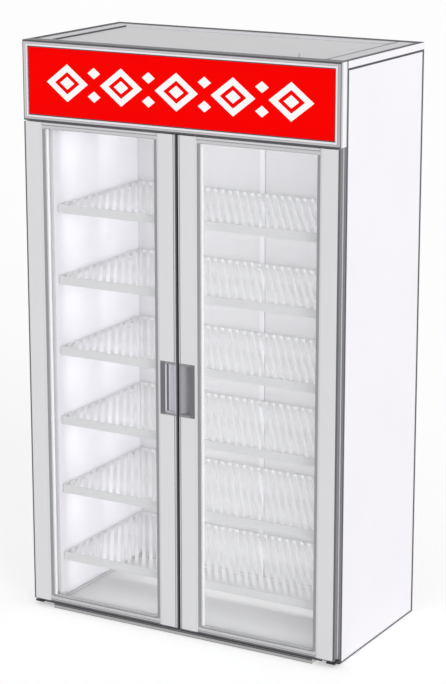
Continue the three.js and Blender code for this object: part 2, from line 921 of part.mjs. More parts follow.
function paneSpacer(side) {
  const x = doorField(side, glassPlay - glassBite + spacerInset);
  const z = [railWeb + glassPlay + spacerInset, doorHeight - railWeb - glassPlay - spacerInset];
  const sideBar = glassBite - glassPlay - spacerInset + glazingWidth + spacerShow;
  const endBar = railFace - railWeb - glassPlay - spacerInset + glazingWidth + spacerShow;
  const y = [doorBack(glassFront + paneThickness), doorBack(glassFront + paneThickness + spacerThickness)];
  return frame(x, y, z, sideBar, endBar);
}

function glazingGasket(side) {
  const y = [doorBack(glazingDrop), doorBack(glassFront)];
  return frame(doorField(side, 0), y, [railFace, doorHeight - railFace], glazingWidth, glazingWidth);
}

// The door gasket seals the hinge side, the head and the sill, and stops at the meeting edge
function doorGasket(side) {
  const outline = [
    [gasketInset, gasketEndInset], [doorWidth, gasketEndInset],
    [doorWidth, gasketEndInset + gasketWidth], [gasketInset + gasketWidth, gasketEndInset + gasketWidth],
    [gasketInset + gasketWidth, doorHeight - gasketEndInset - gasketWidth],
    [doorWidth, doorHeight - gasketEndInset - gasketWidth], [doorWidth, doorHeight - gasketEndInset],
    [gasketInset, doorHeight - gasketEndInset],
  ].map(([width, height]) => [doorAcross(side, width), height]);
  return facing(outline, [doorBack(doorThickness), doorBack(headDepth - gasketPlay)]);
}

function meetingSeal(side) {
  return box(
    [doorAcross(side, doorWidth), doorAcross(side, doorWidth + sealWidth)],
    [doorBack(sealInset), doorBack(sealInset + sealDepth)],
    [0, doorHeight],
  );
}

function addDoor(cabinet, { side, hand }) {
  const door = new THREE.Group();
  door.position.set(side * (halfWidth - doorSetback - pivotInset), deep(pivotDepth), doorBottom);
  place(door, `${hand}_hinge_stile`, hingeStile(side), anodised);
  place(door, `${hand}_pull_stile`, pullStile(side), anodised);
  place(door, `${hand}_top_rail`, rail(side, true), anodised);
  place(door, `${hand}_bottom_rail`, rail(side, false), anodised);
  place(door, `${hand}_front_pane`, pane(side, glassFront), glassTint);
  place(door, `${hand}_rear_pane`, pane(side, glassBack - paneThickness), glassTint);
  place(door, `${hand}_pane_spacer`, paneSpacer(side), whitePaint);
  place(door, `${hand}_glazing_gasket`, glazingGasket(side), greyRubber);
  place(door, `${hand}_door_gasket`, doorGasket(side), rubber);
  place(door, `${hand}_pull`, pull(side), greyPlastic);
  place(door, `${hand}_meeting_seal`, meetingSeal(side), rubber);
  cabinet.add(door);
}

// Blower, heater and duct

// The volute widens in the way the impeller turns, then runs straight back to the outlet
function voluteOutline(extra, end) {
  const points = [];
  for (let step = 0; step <= voluteSteps; step += 1) {
    const share = step / voluteSteps;
    const angle = voluteStartAngle + share * (Math.PI * 2 - voluteStartAngle);
    const radius = voluteStartRadius + share * (voluteEndRadius - voluteStartRadius) + extra;
    points.push([blowerX + radius * Math.cos(angle), deep(blowerDepth) + radius * Math.sin(angle)]);
  }
  points.push([blowerX + voluteEndRadius + extra, deep(end)]);
  points.push([blowerX + voluteStartRadius * Math.cos(voluteStartAngle) - extra, deep(end)]);
  return points;
}

function blowerHousing() {
  const shell = upright(voluteOutline(0, outletDepth), [machineBase, blowerTop]);
  const inside = [machineBase + sheet, blowerTop - sheet];
  const hollow = upright(voluteOutline(-sheet, outletDepth + overrun), inside);
  const centre = [blowerX, deep(blowerDepth)];
  const inlet = rod(inletRadius, centre, through([machineBase, machineBase + sheet]), largeRoundSides);
  const shaftHole = rod(shaftHoleRadius, centre, through([blowerTop - sheet, blowerTop]));
  return cut(shell, [hollow, inlet, shaftHole]);
}

function blowerMotor() {
  const bore = shaftRadius + shaftPlay;
  const profile = [
    [bore, 0], [motorRadius, 0], [motorRadius, motorHeight - motorShoulder],
    [motorRadius - motorShoulder, motorHeight], [motorCapRadius, motorHeight],
    [motorCapRadius, motorHeight + motorCapHeight], [0, motorHeight + motorCapHeight],
    [0, motorBoreDepth], [bore, motorBoreDepth],
  ];
  return turned(profile, [blowerX, deep(blowerDepth)], blowerTop, largeRoundSides);
}

// One forward-curved blade about the impeller's own axis, bowed by a formula
function blade(angle) {
  const outline = [];
  const edge = (step, offset) => {
    const share = step / bladeSteps;
    const inner = impellerEyeRadius + bladeLap;
    const radius = inner + share * (impellerRadius - bladeLap - inner);
    const point = new THREE.Vector2(radius, bladeBow * share ** 2 + offset);
    return point.rotateAround(new THREE.Vector2(), angle).toArray();
  };
  for (let step = 0; step <= bladeSteps; step += 1) outline.push(edge(step, 0));
  for (let step = bladeSteps; step >= 0; step -= 1) outline.push(edge(step, bladeThickness));
  return upright(outline, [impellerRing / 2, impellerHeight - impellerPlate / 2]);
}

// The impeller hangs from its back plate and hub, with a ring round the eye. Its shaft runs up
// into the motor.
function blowerImpeller() {
  const centre = [0, 0];
  const plateBottom = impellerHeight - impellerPlate;
  const plate = rod(impellerRadius, centre, [plateBottom, impellerHeight], largeRoundSides);
  const disc = rod(impellerRadius, centre, [0, impellerRing], largeRoundSides);
  const ring = disc.subtract(rod(impellerEyeRadius, centre, through([0, impellerRing]), largeRoundSides));
  const hub = rod(hubRadius, centre, [impellerHeight - hubHeight, impellerHeight]);
  const shaft = rod(shaftRadius, centre, [plateBottom, blowerHeight - sheet - impellerLift + shaftLength]);
  const blades = [];
  for (let index = 0; index < bladeCount; index += 1) blades.push(blade(index * Math.PI * 2 / bladeCount));
  return joined([plate, ring, hub, shaft, ...blades]);
}

// The duct fans out from the blower's outlet, and the ceiling closes it underneath
function heaterDuct() {
  const mouth = (voluteEndRadius - voluteStartRadius * Math.cos(voluteStartAngle)) / 2;
  const back = backFront - ductEndPlay;
  const shoulder = backFront - ductShoulderInset;
  const outline = (inset, lead) => [
    [inset - mouth, deep(outletDepth - lead)], [mouth - inset, deep(outletDepth - lead)],
    [ductHalfWidth - inset, deep(shoulder)], [ductHalfWidth - inset, deep(back - inset)],
    [inset - ductHalfWidth, deep(back - inset)], [inset - ductHalfWidth, deep(shoulder)],
  ];
  const shell = upright(outline(0, 0), [machineBase, blowerTop]);
  const hollow = upright(outline(sheet, overrun), [machineBase - overrun, blowerTop - sheet]);
  const leads = elementEnds().map(
    (end) => rod(elementRadius + leadPlay, end, through([blowerTop - sheet, blowerTop]), elementSides),
  );
  return cut(shell, [hollow, ...leads]);
}

function elementRunDepth(run) {
  return backFront - elementBackInset - (elementRuns - 1 - run) * elementPitch;
}

// Both ends of the element come out on the same side, as its run count is even
function elementEnds() {
  const x = elementLeadInset - elementHalfLength;
  return [0, elementRuns - 1].map((run) => [x, deep(elementRunDepth(run))]);
}

// A sheathed element: straight runs joined by half-turn bends, with a lead up at each end
function heaterElement() {
  const z = machineBase + elementLift;
  const leadTop = blowerTop + leadReach;
  const pieces = [];
  for (let run = 0; run < elementRuns; run += 1) {
    const axis = [deep(elementRunDepth(run)), z];
    pieces.push(rodAlongX(elementRadius, [-elementHalfLength, elementHalfLength], axis, elementSides));
  }
  for (let run = 0; run < elementRuns - 1; run += 1) {
    const way = run % 2 === 0 ? 1 : -1;
    const middle = deep(elementRunDepth(run) + elementPitch / 2);
    pieces.push(elementBend([way * (elementHalfLength - elementBendLap), middle, z], way));
  }
  for (const [x, y] of elementEnds()) {
    pieces.push(rod(elementRadius, [x, y], [z, leadTop], elementSides));
  }
  return joined(pieces);
}

// A half turn of the sheath in the flat, bulging towards +X or -X
function elementBend([x, y, z], way) {
  class HalfTurn extends THREE.Curve {
    getPoint(share, target = new THREE.Vector3()) {
      const angle = (share - 1 / 2) * Math.PI;
      return target.set(
        x + way * elementPitch / 2 * Math.cos(angle), y + elementPitch / 2 * Math.sin(angle), z,
      );
    }
  }
  const circle = new THREE.Shape();
  for (let side = 0; side <= elementSides; side += 1) {
    const angle = side * Math.PI * 2 / elementSides;
    const point = [elementBendRadius * Math.cos(angle), elementBendRadius * Math.sin(angle)];
    if (side === 0) circle.moveTo(...point);
    else if (side < elementSides) circle.lineTo(...point);
  }
  return solid(new THREE.ExtrudeGeometry(circle, {
    steps: elementBendSteps, bevelEnabled: false, extrudePath: new HalfTurn(),
  }));
}

// Controls at the back

const controlFloor = cabinetDepth - sheet - controlRecess;

// Depth of a rocker's pivot, and the heights of the two rockers beside the knob
const rockerPivot = controlFloor + sheet;
const rockerX = controlCentre - rockerShift;
const rockerHeights = around(compartmentMiddle, rockerLength + bezelBorder * 2).reverse();
const knobX = controlCentre + knobShift;

// The tray hangs on the inside of the back sheet, with a bezel and a housing for each rocker
function controlTray() {
  const wide = (margin) => around(controlCentre, controlWidth + margin * 2);
  const high = (margin) => around(compartmentMiddle, controlHeight + margin * 2);
  const rear = cabinetDepth - sheet;
  const wall = box(wide(sheet), between(controlFloor, rear), high(sheet));
  const hollow = box(wide(0), between(controlFloor + sheet, rear + overrun), high(0));
  const flange = box(wide(controlFlange), between(rear - sheet, rear), high(controlFlange));
  const bezelFace = controlFloor + sheet + bezelThickness;
  const houses = rockerHeights.map((z) => box(
    around(rockerX, rockerWidth + bezelBorder * 2),
    between(controlFloor - rockerHouse, bezelFace),
    around(z, rockerLength + bezelBorder * 2),
  ));
  const wells = rockerHeights.map((z) => box(
    around(rockerX, rockerWidth + rockerPlay * 2),
    between(controlFloor - rockerHouse + sheet, bezelFace + overrun),
    around(z, rockerLength + rockerEndPlay * 2),
  ));
  const trunnionHoles = rockerHeights.map((z) => rodAlongX(
    trunnionRadius + trunnionPlay,
    around(rockerX, trunnionLength + trunnionPlay * 2),
    [deep(rockerPivot), z],
    trunnionSides,
  ));
  const spindleHole = rodAlongY(
    spindleHoleRadius,
    through(between(controlFloor, controlFloor + sheet)),
    [knobX, compartmentMiddle],
  );
  const tray = joined([wall, flange]).subtract(hollow);
  return cut(joined([tray, ...houses]), [...wells, ...trunnionHoles, spindleHole]);
}

// A rocker's cap is a shallow V that turns on a trunnion at each side
function rocker() {
  const half = rockerLength / 2;
  const cap = sideways([
    [-rockerRoot, -half], [rockerCrown, -half], [rockerFlank, 0], [rockerCrown, half], [-rockerRoot, half],
  ], around(0, rockerWidth));
  return cap.add(rodAlongX(trunnionRadius, around(0, trunnionLength), [0, 0], trunnionSides));
}

function thermostatBody() {
  const house = box(
    around(knobX, thermostatWidth),
    between(controlFloor - thermostatDepth, controlFloor),
    around(compartmentMiddle, thermostatWidth),
  );
  return house.subtract(rodAlongY(
    spindleRadius + spindlePlay, between(controlFloor - thermostatBore, controlFloor + overrun),
    [knobX, compartmentMiddle],
  ));
}

// The knob has its spindle in one piece with it, and a raised pointer
function thermostatKnob() {
  const knob = new THREE.CylinderGeometry(knobTop, knobRadius, knobHeight, roundSides);
  knob.translate(0, knobHeight / 2, 0);
  const spindle = rodAlongY(spindleRadius, [knobHeight / 2 - spindleLength, knobHeight / 2], [0, 0]);
  const rise = [knobHeight / 2, knobHeight + pointerRise];
  const pointer = box(around(0, pointerWidth), rise, [0, knobTop - pointerWidth / 2]);
  return joined([solid(knob), spindle, pointer]);
}

// Assembly

const cabinet = new THREE.Group();
cabinet.name = 'heated_display_case';

for (const { side, hand } of sides) {
  place(cabinet, `${hand}_side_panel`, sidePanel(side), whitePaint);
  place(cabinet, `${hand}_liner`, liner(side), whitePaint);
  place(cabinet, `${hand}_top_pivot`, topPivot(side), darkSteel);
  place(cabinet, `${hand}_bottom_bracket`, bottomBracket(side), darkSteel);
}
place(cabinet, 'back_panel', backPanel(), palePaint);
place(cabinet, 'back_liner', backLiner(), palePaint);
place(cabinet, 'base_deck', baseDeck(), greyPaint);
place(cabinet, 'floor_tray', floorTray(), greyPaint);
place(cabinet, 'ceiling_panel', ceilingPanel(), palePaint);
place(cabinet, 'roof_cap', roofCap(), whitePaint);
place(cabinet, 'roof_panel', roofPanel(), whitePaint);
place(cabinet, 'roof_gland', roofGland(), greyPlastic);
place(cabinet, 'centre_pilaster', centrePilaster(), whitePaint);

const shelfForm = shelf();
const shelfMiddle = (headDepth + shelfSetback + backFront - shelfBackPlay) / 2;
for (let index = 0; index < shelfCount; index += 1) {
  place(cabinet, `shelf_${index + 1}`, shelfForm, greyPaint, [0, deep(shelfMiddle), shelfTop(index)]);
}

place(cabinet, 'sign_box', signBox(), whitePaint);
place(cabinet, 'sign_trim', signTrim(), whitePaint);
place(cabinet, 'sign_panel', signPanel(), signRed);
place(cabinet, 'sign_reflector', signReflector(), whitePaint);
place(cabinet, 'sign_lamp', signLamp(), lampGlass);

for (const hinged of sides) addDoor(cabinet, hinged);

place(cabinet, 'blower_housing', blowerHousing(), galvanised);
place(cabinet, 'blower_motor', blowerMotor(), darkSteel);
const impellerPlace = [blowerX, deep(blowerDepth), machineBase + sheet + impellerLift];
place(cabinet, 'blower_impeller', blowerImpeller(), galvanised, impellerPlace);
place(cabinet, 'heater_duct', heaterDuct(), galvanised);
place(cabinet, 'heater_element', heaterElement(), heaterSheath);

place(cabinet, 'control_tray', controlTray(), palePaint);
place(cabinet, 'thermostat_body', thermostatBody(), blackPlastic);
const knobPlace = [knobX, deep(controlFloor + sheet + knobLift), compartmentMiddle];
place(cabinet, 'thermostat_knob', thermostatKnob(), blackPlastic, knobPlace);
['power_rocker', 'lamp_rocker'].forEach((name, index) => {
  const pivot = new THREE.Group();
  pivot.position.set(rockerX, deep(rockerPivot), rockerHeights[index]);
  pivot.rotation.x = rockerTravel / 2;
  place(pivot, name, rocker(), blackPlastic);
  cabinet.add(pivot);
});

export default cabinet;
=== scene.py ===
# %% [markdown]
# A floor-standing heated display case, dressed for its portrait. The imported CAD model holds
# every size and every moving body. It is loaded first, and nothing here moves or resizes it:
# each node is replaced by a better shaped piece that stands in the same place.

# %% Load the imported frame
import json
import math

import bmesh
import bpy
from mathutils import Matrix, Vector

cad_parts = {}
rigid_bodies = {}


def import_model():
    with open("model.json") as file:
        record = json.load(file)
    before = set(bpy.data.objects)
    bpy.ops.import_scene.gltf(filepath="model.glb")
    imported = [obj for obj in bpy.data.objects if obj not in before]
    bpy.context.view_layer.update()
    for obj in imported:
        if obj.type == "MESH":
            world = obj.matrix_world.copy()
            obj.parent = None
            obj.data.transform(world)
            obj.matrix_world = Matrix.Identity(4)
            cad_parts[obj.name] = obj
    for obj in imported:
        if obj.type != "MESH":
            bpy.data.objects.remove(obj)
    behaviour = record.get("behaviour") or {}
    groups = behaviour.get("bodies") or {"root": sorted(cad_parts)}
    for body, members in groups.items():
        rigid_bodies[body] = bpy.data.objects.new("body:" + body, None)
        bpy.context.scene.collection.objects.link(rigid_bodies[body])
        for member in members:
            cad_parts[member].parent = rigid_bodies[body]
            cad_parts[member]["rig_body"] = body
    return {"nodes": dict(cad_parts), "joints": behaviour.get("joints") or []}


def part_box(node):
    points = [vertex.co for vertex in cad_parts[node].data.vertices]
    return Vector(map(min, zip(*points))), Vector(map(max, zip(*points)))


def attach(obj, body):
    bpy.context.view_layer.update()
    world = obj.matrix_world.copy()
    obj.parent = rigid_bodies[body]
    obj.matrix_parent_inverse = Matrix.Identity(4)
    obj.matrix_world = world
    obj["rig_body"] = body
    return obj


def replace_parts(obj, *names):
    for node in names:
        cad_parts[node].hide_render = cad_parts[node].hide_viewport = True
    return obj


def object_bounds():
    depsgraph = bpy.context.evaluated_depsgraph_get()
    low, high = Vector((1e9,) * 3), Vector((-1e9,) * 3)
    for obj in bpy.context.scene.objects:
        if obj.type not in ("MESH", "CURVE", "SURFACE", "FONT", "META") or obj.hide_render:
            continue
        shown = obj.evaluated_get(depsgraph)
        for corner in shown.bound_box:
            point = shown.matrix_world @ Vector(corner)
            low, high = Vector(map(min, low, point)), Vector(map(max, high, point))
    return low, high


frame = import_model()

cad_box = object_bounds()
HANDS = ((-1, "left"), (1, "right"))
print("CAD box", [round(value, 4) for corner in cad_box for value in corner])

# %% [markdown]
# The camera comes next, because every later choice of detail depends on how large a
# millimetre is in the picture. It stands to the right of the case, above its middle, with a
# long lens, which keeps the uprights almost parallel.

# %% Camera
CAMERA_PLACE = (3.8029, -6.6003, 2.9654)
CAMERA_TURN = math.radians(29.784)
CAMERA_DIP = math.radians(14.309)
CAMERA_LENS = 118.16
CAMERA_SENSOR = 36
CAMERA_SHIFT = (-0.0085, -0.0133)
CAMERA_REACH = 200
PIXELS_HIGH = 684

camera = bpy.data.objects.new("camera", bpy.data.cameras.new("camera"))
bpy.context.scene.collection.objects.link(camera)
camera.location = CAMERA_PLACE
camera.rotation_euler = (math.pi / 2 - CAMERA_DIP, 0, CAMERA_TURN)
camera.data.sensor_width = CAMERA_SENSOR
camera.data.lens = CAMERA_LENS
camera.data.shift_x, camera.data.shift_y = CAMERA_SHIFT
camera.data.clip_end = CAMERA_REACH
bpy.context.scene.camera = camera
pixel = Vector(CAMERA_PLACE).length * CAMERA_SENSOR / CAMERA_LENS / PIXELS_HIGH
print("one pixel is", round(1000 * pixel, 2), "mm")

# %% [markdown]
# A material is a small network of nodes. Wiring each node by hand hides what the network
# works out, so helpers come first. Wire wraps one socket, and arithmetic on wires adds the
# Math nodes.

# %% Wires that do sums
class Wire:
    """One output socket, which can be used in a sum."""

    def __init__(self, network, socket):
        self.network = network
        self.socket = socket

    def sum(self, operation, first, second):
        return self.network.node("ShaderNodeMath", {"operation": operation}, {0: first, 1: second})

    def repeated(self):
        """What is left after the whole number, which makes a pattern repeat."""
        return self.sum("FRACT", self, 0.0)

    def __add__(self, other):
        return self.sum("ADD", self, other)

    def __radd__(self, other):
        return self.sum("ADD", other, self)

    def __sub__(self, other):
        return self.sum("SUBTRACT", self, other)

    def __rsub__(self, other):
        return self.sum("SUBTRACT", other, self)

    def __mul__(self, other):
        return self.sum("MULTIPLY", self, other)

    def __rmul__(self, other):
        return self.sum("MULTIPLY", other, self)

    def __pow__(self, other):
        return self.sum("POWER", self, other)

    def __gt__(self, other):
        return self.sum("GREATER_THAN", self, other)


# %% [markdown]
# Network adds any other node, and Finish is the network of one material. Colours are chosen as
# they look on a screen, but a shader counts light, so each one is converted. Noise and shades
# read the place on the object, so no pattern slides when the view turns.

# %% A finish and its nodes
def paint_mix(red, green, blue):
    """A colour as it is read on a screen, 0 to 255, turned into the light it sends back."""
    def light(value):
        share = value / 255
        return share / 12.92 if share <= 0.04045 else ((share + 0.055) / 1.055) ** 2.4
    return (light(red), light(green), light(blue), 1)


class Network:
    """A node tree. Its method node adds any node, with settings first and then the sockets."""

    def __init__(self, tree):
        self.tree = tree

    def node(self, kind, settings=None, inputs=None, output=0):
        made = self.tree.nodes.new(kind)
        for name, value in (settings or {}).items():
            setattr(made, name, value)
        for name, value in (inputs or {}).items():
            self.feed(made.inputs[name], value)
        return Wire(self, made.outputs[output])

    def feed(self, socket, value):
        if isinstance(value, Wire):
            self.tree.links.new(value.socket, socket)
        else:
            socket.default_value = value

    def seen(self):
        """1 for a ray from the camera, or one that metal or glass sends on, and 0 for the rest."""
        straight, mirrored, passed = [
            self.node("ShaderNodeLightPath", output=f"Is {kind} Ray")
            for kind in ("Camera", "Glossy", "Transmission")]
        either = straight.sum("MAXIMUM", straight, mirrored)
        return either.sum("MAXIMUM", either, passed)


class Finish(Network):
    """A material with a Principled shader. Values that are the same all over are set on it."""

    def __init__(self, name, **constants):
        self.material = bpy.data.materials.new(name)
        self.material.use_nodes = True
        super().__init__(self.material.node_tree)
        self.shader = self.tree.nodes["Principled BSDF"]
        for socket, value in constants.items():
            self.shader.inputs[socket.replace("_", " ")].default_value = value
        self.place = self.node("ShaderNodeTexCoord", output="Object")

    def set(self, **sockets):
        for name, value in sockets.items():
            self.feed(self.shader.inputs[name.replace("_", " ")], value)

    def cloud(self, scale, detail=2, stretch=None):
        """Soft noise around a half. Stretch scales each axis first, for grain."""
        place = self.place
        if stretch:
            place = self.node("ShaderNodeMapping", None, {"Vector": place, "Scale": stretch})
        inputs = {"Vector": place, "Scale": scale, "Detail": detail}
        return self.node("ShaderNodeTexNoise", None, inputs)

    def blend(self, share, first, second):
        """The first colour where share is 0, the second where it is 1. Either may be a wire."""
        ends = [end if isinstance(end, Wire) else paint_mix(*end) for end in (first, second)]
        inputs = {0: share, 6: ends[0], 7: ends[1]}
        return self.node("ShaderNodeMix", {"data_type": "RGBA"}, inputs, output=2)

    def relief(self, height, depth):
        """A normal that is tilted by a height of this depth in metres."""
        return self.node("ShaderNodeBump", None, {"Height": height, "Distance": depth})

    def wear_tone_and_shade_marks(self):
        """How far a surface is marked by the shaping: wear, a second colour and painted shade."""
        return self.node("ShaderNodeAttribute", {"attribute_name": "edge"}, output="Fac")

    def axis(self, name):
        """One coordinate of the place on the object, in metres."""
        return self.node("ShaderNodeSeparateXYZ", None, {"Vector": self.place}, output=name)


# %% [markdown]
# Baked powder paint covers the sheet metal. Close up it has a fine orange peel and clouds of
# slightly different gloss. Along a sharp fold the paint darkens to the thin line that outlines
# each panel: partly the powder drawing back, partly painted shade in the crease. The shaping
# further down marks those folds and strips of painted shade, and the paint darkens there.

# %% Baked paints
CLOUDS_PER_METRE = 3.1
SPECKLES_PER_METRE = 1400
PEEL_PER_METRE = 330
PEEL_DEPTH = 0.00012
DULL_SHARE = 0.972


def baked_paint(name, colour, fold_and_shade_colour, gloss=0.36):
    paint = Finish(name, IOR=1.5, Specular_IOR_Level=0.12)
    patches = paint.cloud(CLOUDS_PER_METRE, 3)
    speckle = paint.cloud(SPECKLES_PER_METRE, 1)
    dull = [value * DULL_SHARE for value in colour]
    skin = paint.blend(patches * 0.7 + speckle * 0.3, colour, dull)
    # Marked folds and strips take the darker colour: wear at the folds, and painted shade.
    paint.set(
        Base_Color=paint.blend(paint.wear_tone_and_shade_marks(), skin, fold_and_shade_colour),
        Roughness=gloss + patches * 0.1 + paint.wear_tone_and_shade_marks() * 0.2,
        Normal=paint.relief(paint.cloud(PEEL_PER_METRE, 1.5), PEEL_DEPTH))
    return paint


white_paint = baked_paint("white_paint", (251, 249, 254), (96, 96, 100))
# The roof paint is the white a little greyed: painted shade on the top, which gets least light.
roof_paint_and_shade = baked_paint("roof_paint_and_shade", (240, 240, 242), (96, 96, 100))
liner_paint = baked_paint("liner_paint", (251, 249, 254), (196, 196, 200))
pilaster_paint = baked_paint("pilaster_paint", (228, 228, 231), (196, 196, 200))
# The pale and grey paints are greyer copies of the white; part of their grey is painted shade.
pale_paint = baked_paint("pale_paint", (216, 216, 218), (112, 112, 116))
grey_paint = baked_paint("grey_paint", (214, 214, 214), (96, 96, 98))
shelf_coat = baked_paint("shelf_coat", (232, 232, 233), (112, 112, 114), gloss=0.42)

# %% [markdown]
# The door frames are drawn through a die and anodised. The die leaves fine lines along the
# bar, so the noise is stretched along the length, and a rail needs another finish than a
# stile because its length runs the other way. Real anodising reflects softly: part metal,
# part pale skin, on a roughness that the lines vary.

# %% Anodised bars
LINES_ACROSS = 1500
LINES_ALONG = 4
LINE_DEPTH = 0.00008


def anodised_bar(name, stretch):
    bar = Finish(name, Metallic=0.3, Specular_IOR_Level=0.4)
    lines = bar.cloud(1, 3, stretch)
    patches = bar.cloud(2.2, 2)
    metal = bar.blend(lines * 0.6 + patches * 0.4, (233, 233, 235), (222, 222, 225))
    bar.set(
        Base_Color=bar.blend(bar.wear_tone_and_shade_marks(), metal, (104, 104, 108)),
        Roughness=0.34 + lines * 0.2,
        Normal=bar.relief(lines, LINE_DEPTH))
    return bar


anodised_upright = anodised_bar("anodised_upright", (LINES_ACROSS, LINES_ACROSS, LINES_ALONG))
anodised_across = anodised_bar("anodised_across", (LINES_ALONG, LINES_ACROSS, LINES_ACROSS))

# %% [markdown]
# Hot-dip zinc freezes in crystals a centimetre or so wide, each at its own tilt, so each one
# has its own brightness and gloss. A Voronoi texture gives cells with a random colour each,
# and its red channel serves as that random number.

# %% Galvanised sheet
CRYSTALS_PER_METRE = 95

galvanised = Finish("galvanised", Metallic=0.85)
cells = {"Vector": galvanised.place, "Scale": CRYSTALS_PER_METRE}
crystals = galvanised.node("ShaderNodeTexVoronoi", None, cells, output="Color")
spangle = galvanised.node("ShaderNodeSeparateColor", None, {0: crystals}, output=0)
zinc = galvanised.blend(spangle, (168, 173, 177), (196, 200, 203))
rubbed_zinc = galvanised.blend(galvanised.wear_tone_and_shade_marks() * 0.6, zinc, (210, 214, 216))
galvanised.set(Base_Color=rubbed_zinc, Roughness=0.32 + spangle * 0.22)

# %% [markdown]
# The small parts need quieter finishes: black oxide on the pivots, rubber on the seals,
# moulded plastic on the gland, the strips, the knob and the rockers, and bright zinc on the
# screws. Each is one call with its own grain and gloss, because a moulding has a spark-eroded
# texture and rubber has a dusty bloom.

# %% Dark steel, rubber, plastics and zinc
BLOOMS_PER_METRE = 24
EDGE_GAIN = 1.35


def small_part(name, colour, bloom, grain, depth, gloss, wear=0.35, edge=None, **constants):
    part = Finish(name, **constants)
    edge = edge or [min(255, value * EDGE_GAIN) for value in bloom]
    dust = part.cloud(BLOOMS_PER_METRE, 3)
    fine = part.cloud(grain, 2)
    shade = part.blend(dust * 0.7 + fine * 0.3, colour, bloom)
    part.set(
        Base_Color=part.blend(part.wear_tone_and_shade_marks() * wear, shade, edge),
        Roughness=gloss + dust * 0.14,
        Normal=part.relief(fine, depth))
    return part


dark_steel = small_part("dark_steel", (46, 47, 51), (66, 67, 72), 600, 0.00008, 0.38, Metallic=0.6)
black_rubber = small_part("black_rubber", (52, 52, 55), (74, 74, 78), 900, 0.00012, 0.62)
grey_rubber = small_part("grey_rubber", (160, 160, 164), (152, 152, 156), 900, 0.00012, 0.6,
                         wear=1, edge=(212, 212, 214))
pale_moulding = small_part("pale_moulding", (204, 204, 208), (192, 192, 197), 1100, 0.0001, 0.42)
edge_moulding = small_part("edge_moulding", (100, 100, 104), (92, 92, 96), 1100, 0.0001, 0.45)
black_plastic = small_part("black_plastic", (30, 30, 33), (44, 44, 48), 1100, 0.0001, 0.36)
bright_zinc = small_part("bright_zinc", (188, 190, 196), (206, 208, 212), 400, 0.00005, 0.26,
                         Metallic=0.9)
sheath = small_part("heater_sheath", (108, 92, 80), (132, 108, 88), 160, 0.00015, 0.45,
                    Metallic=0.7)

# %% [markdown]
# The door pulls are moulded in two greys, a pale one inside the pocket and a dark one on the
# grip. The shaping marks where the dark one goes, and the same dark grey is laid as painted
# shade in the right pocket and at the pull's ends. A pocket catches light from all round, and a
# faint glow stands for that.

# %% Pull moulding
pull_moulding = Finish("pull_moulding", Specular_IOR_Level=0.3, Emission_Strength=0.12)
grain = pull_moulding.cloud(1100, 2)
mottle = pull_moulding.cloud(30, 2)
pale_grey = pull_moulding.blend(mottle, (220, 219, 226), (212, 211, 218))
greys_and_painted_shade = pull_moulding.blend(pull_moulding.wear_tone_and_shade_marks(), pale_grey, (116, 116, 119))
pull_moulding.set(
    Base_Color=greys_and_painted_shade,
    Emission_Color=greys_and_painted_shade,
    Roughness=0.4 + grain * 0.15,
    Normal=pull_moulding.relief(grain, 0.0001))

# %% [markdown]
# The sign is a sheet of red acrylic with a tube behind it. Acrylic this deep in colour shows
# little reflection, so its specular level is low. The tube lies along the middle, and the
# glow fades a little towards the top and bottom of the sheet. White film lies on the sheet
# and lets some of the glow through.

# %% Red sign panel and its film
red_acrylic = Finish("red_acrylic", Specular_IOR_Level=0.02, Roughness=0.3, Emission_Strength=0.1)
foot, head = (corner.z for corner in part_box("sign_panel"))
from_middle = (red_acrylic.axis("Z") - (foot + head) / 2) * (2 / (head - foot))
glow = 1 - from_middle ** 2
haze = red_acrylic.cloud(5, 2)
red_acrylic.set(
    Base_Color=red_acrylic.blend(haze * 0.5, (254, 2, 0), (250, 3, 1)),
    Emission_Color=red_acrylic.blend(glow, (210, 0, 0), (255, 6, 2)))

white_film = Finish("white_film", Roughness=0.4, Specular_IOR_Level=0.1, Emission_Strength=0.12)
film_skin = white_film.blend(white_film.cloud(40, 2), (254, 254, 254), (249, 249, 249))
white_film.set(Base_Color=film_skin, Emission_Color=film_skin)

# %% [markdown]
# Each pane is 4 mm float glass. Ray-traced glass would stop the daylight that has to reach
# the shelves, so the pane is a thin pale veil instead: its alpha is small when seen straight
# on and grows towards a grazing view, as a real reflection does. The sign's lamp is frosted
# glass with a metal cap at each end, and its caps are marked as edges are.

# %% Clear glass and lamp tube
PLAIN_VEIL = 0.018
WIPED_VEIL = 0.014
GRAZING_VEIL = 0.35
WIPE_STRETCH = (9, 9, 1.2)

clear_glass = Finish("clear_glass", Roughness=0.04, IOR=1.5)
grazing = clear_glass.node("ShaderNodeLayerWeight", None, {"Blend": 0.2}, output="Fresnel")
wiped = clear_glass.cloud(1, 2, WIPE_STRETCH)
clear_glass.set(
    Base_Color=clear_glass.blend(wiped, (244, 249, 250), (250, 252, 253)),
    Alpha=PLAIN_VEIL + wiped * WIPED_VEIL + grazing * GRAZING_VEIL)

lamp_tube = Finish("lamp_tube", Roughness=0.25, Emission_Strength=0.4)
frosted = lamp_tube.blend(lamp_tube.cloud(9, 2), (246, 246, 242), (238, 238, 236))
capped = lamp_tube.wear_tone_and_shade_marks()
lamp_tube.set(
    Base_Color=lamp_tube.blend(capped, frosted, (176, 178, 182)),
    Emission_Color=lamp_tube.blend(capped, (250, 248, 240), (0, 0, 0)),
    Metallic=capped * 0.8)

# %% [markdown]
# A white spacer bar holds the two panes of a door apart. It sits in shade between the panes, and
# a faint glow, which is painted light, keeps it bright. Small holes run up its uprights, so
# that the drying grains inside reach the air between the panes. The bars across its ends are
# plain and a little greyer. What is left of the height after whole pitches tells hole from bar.

# %% Spacer bar
HOLES_PER_METRE = 320
HOLE_SHARE = 0.38
HOLE_SHADE = 0.12
SPACER_END = 0.012

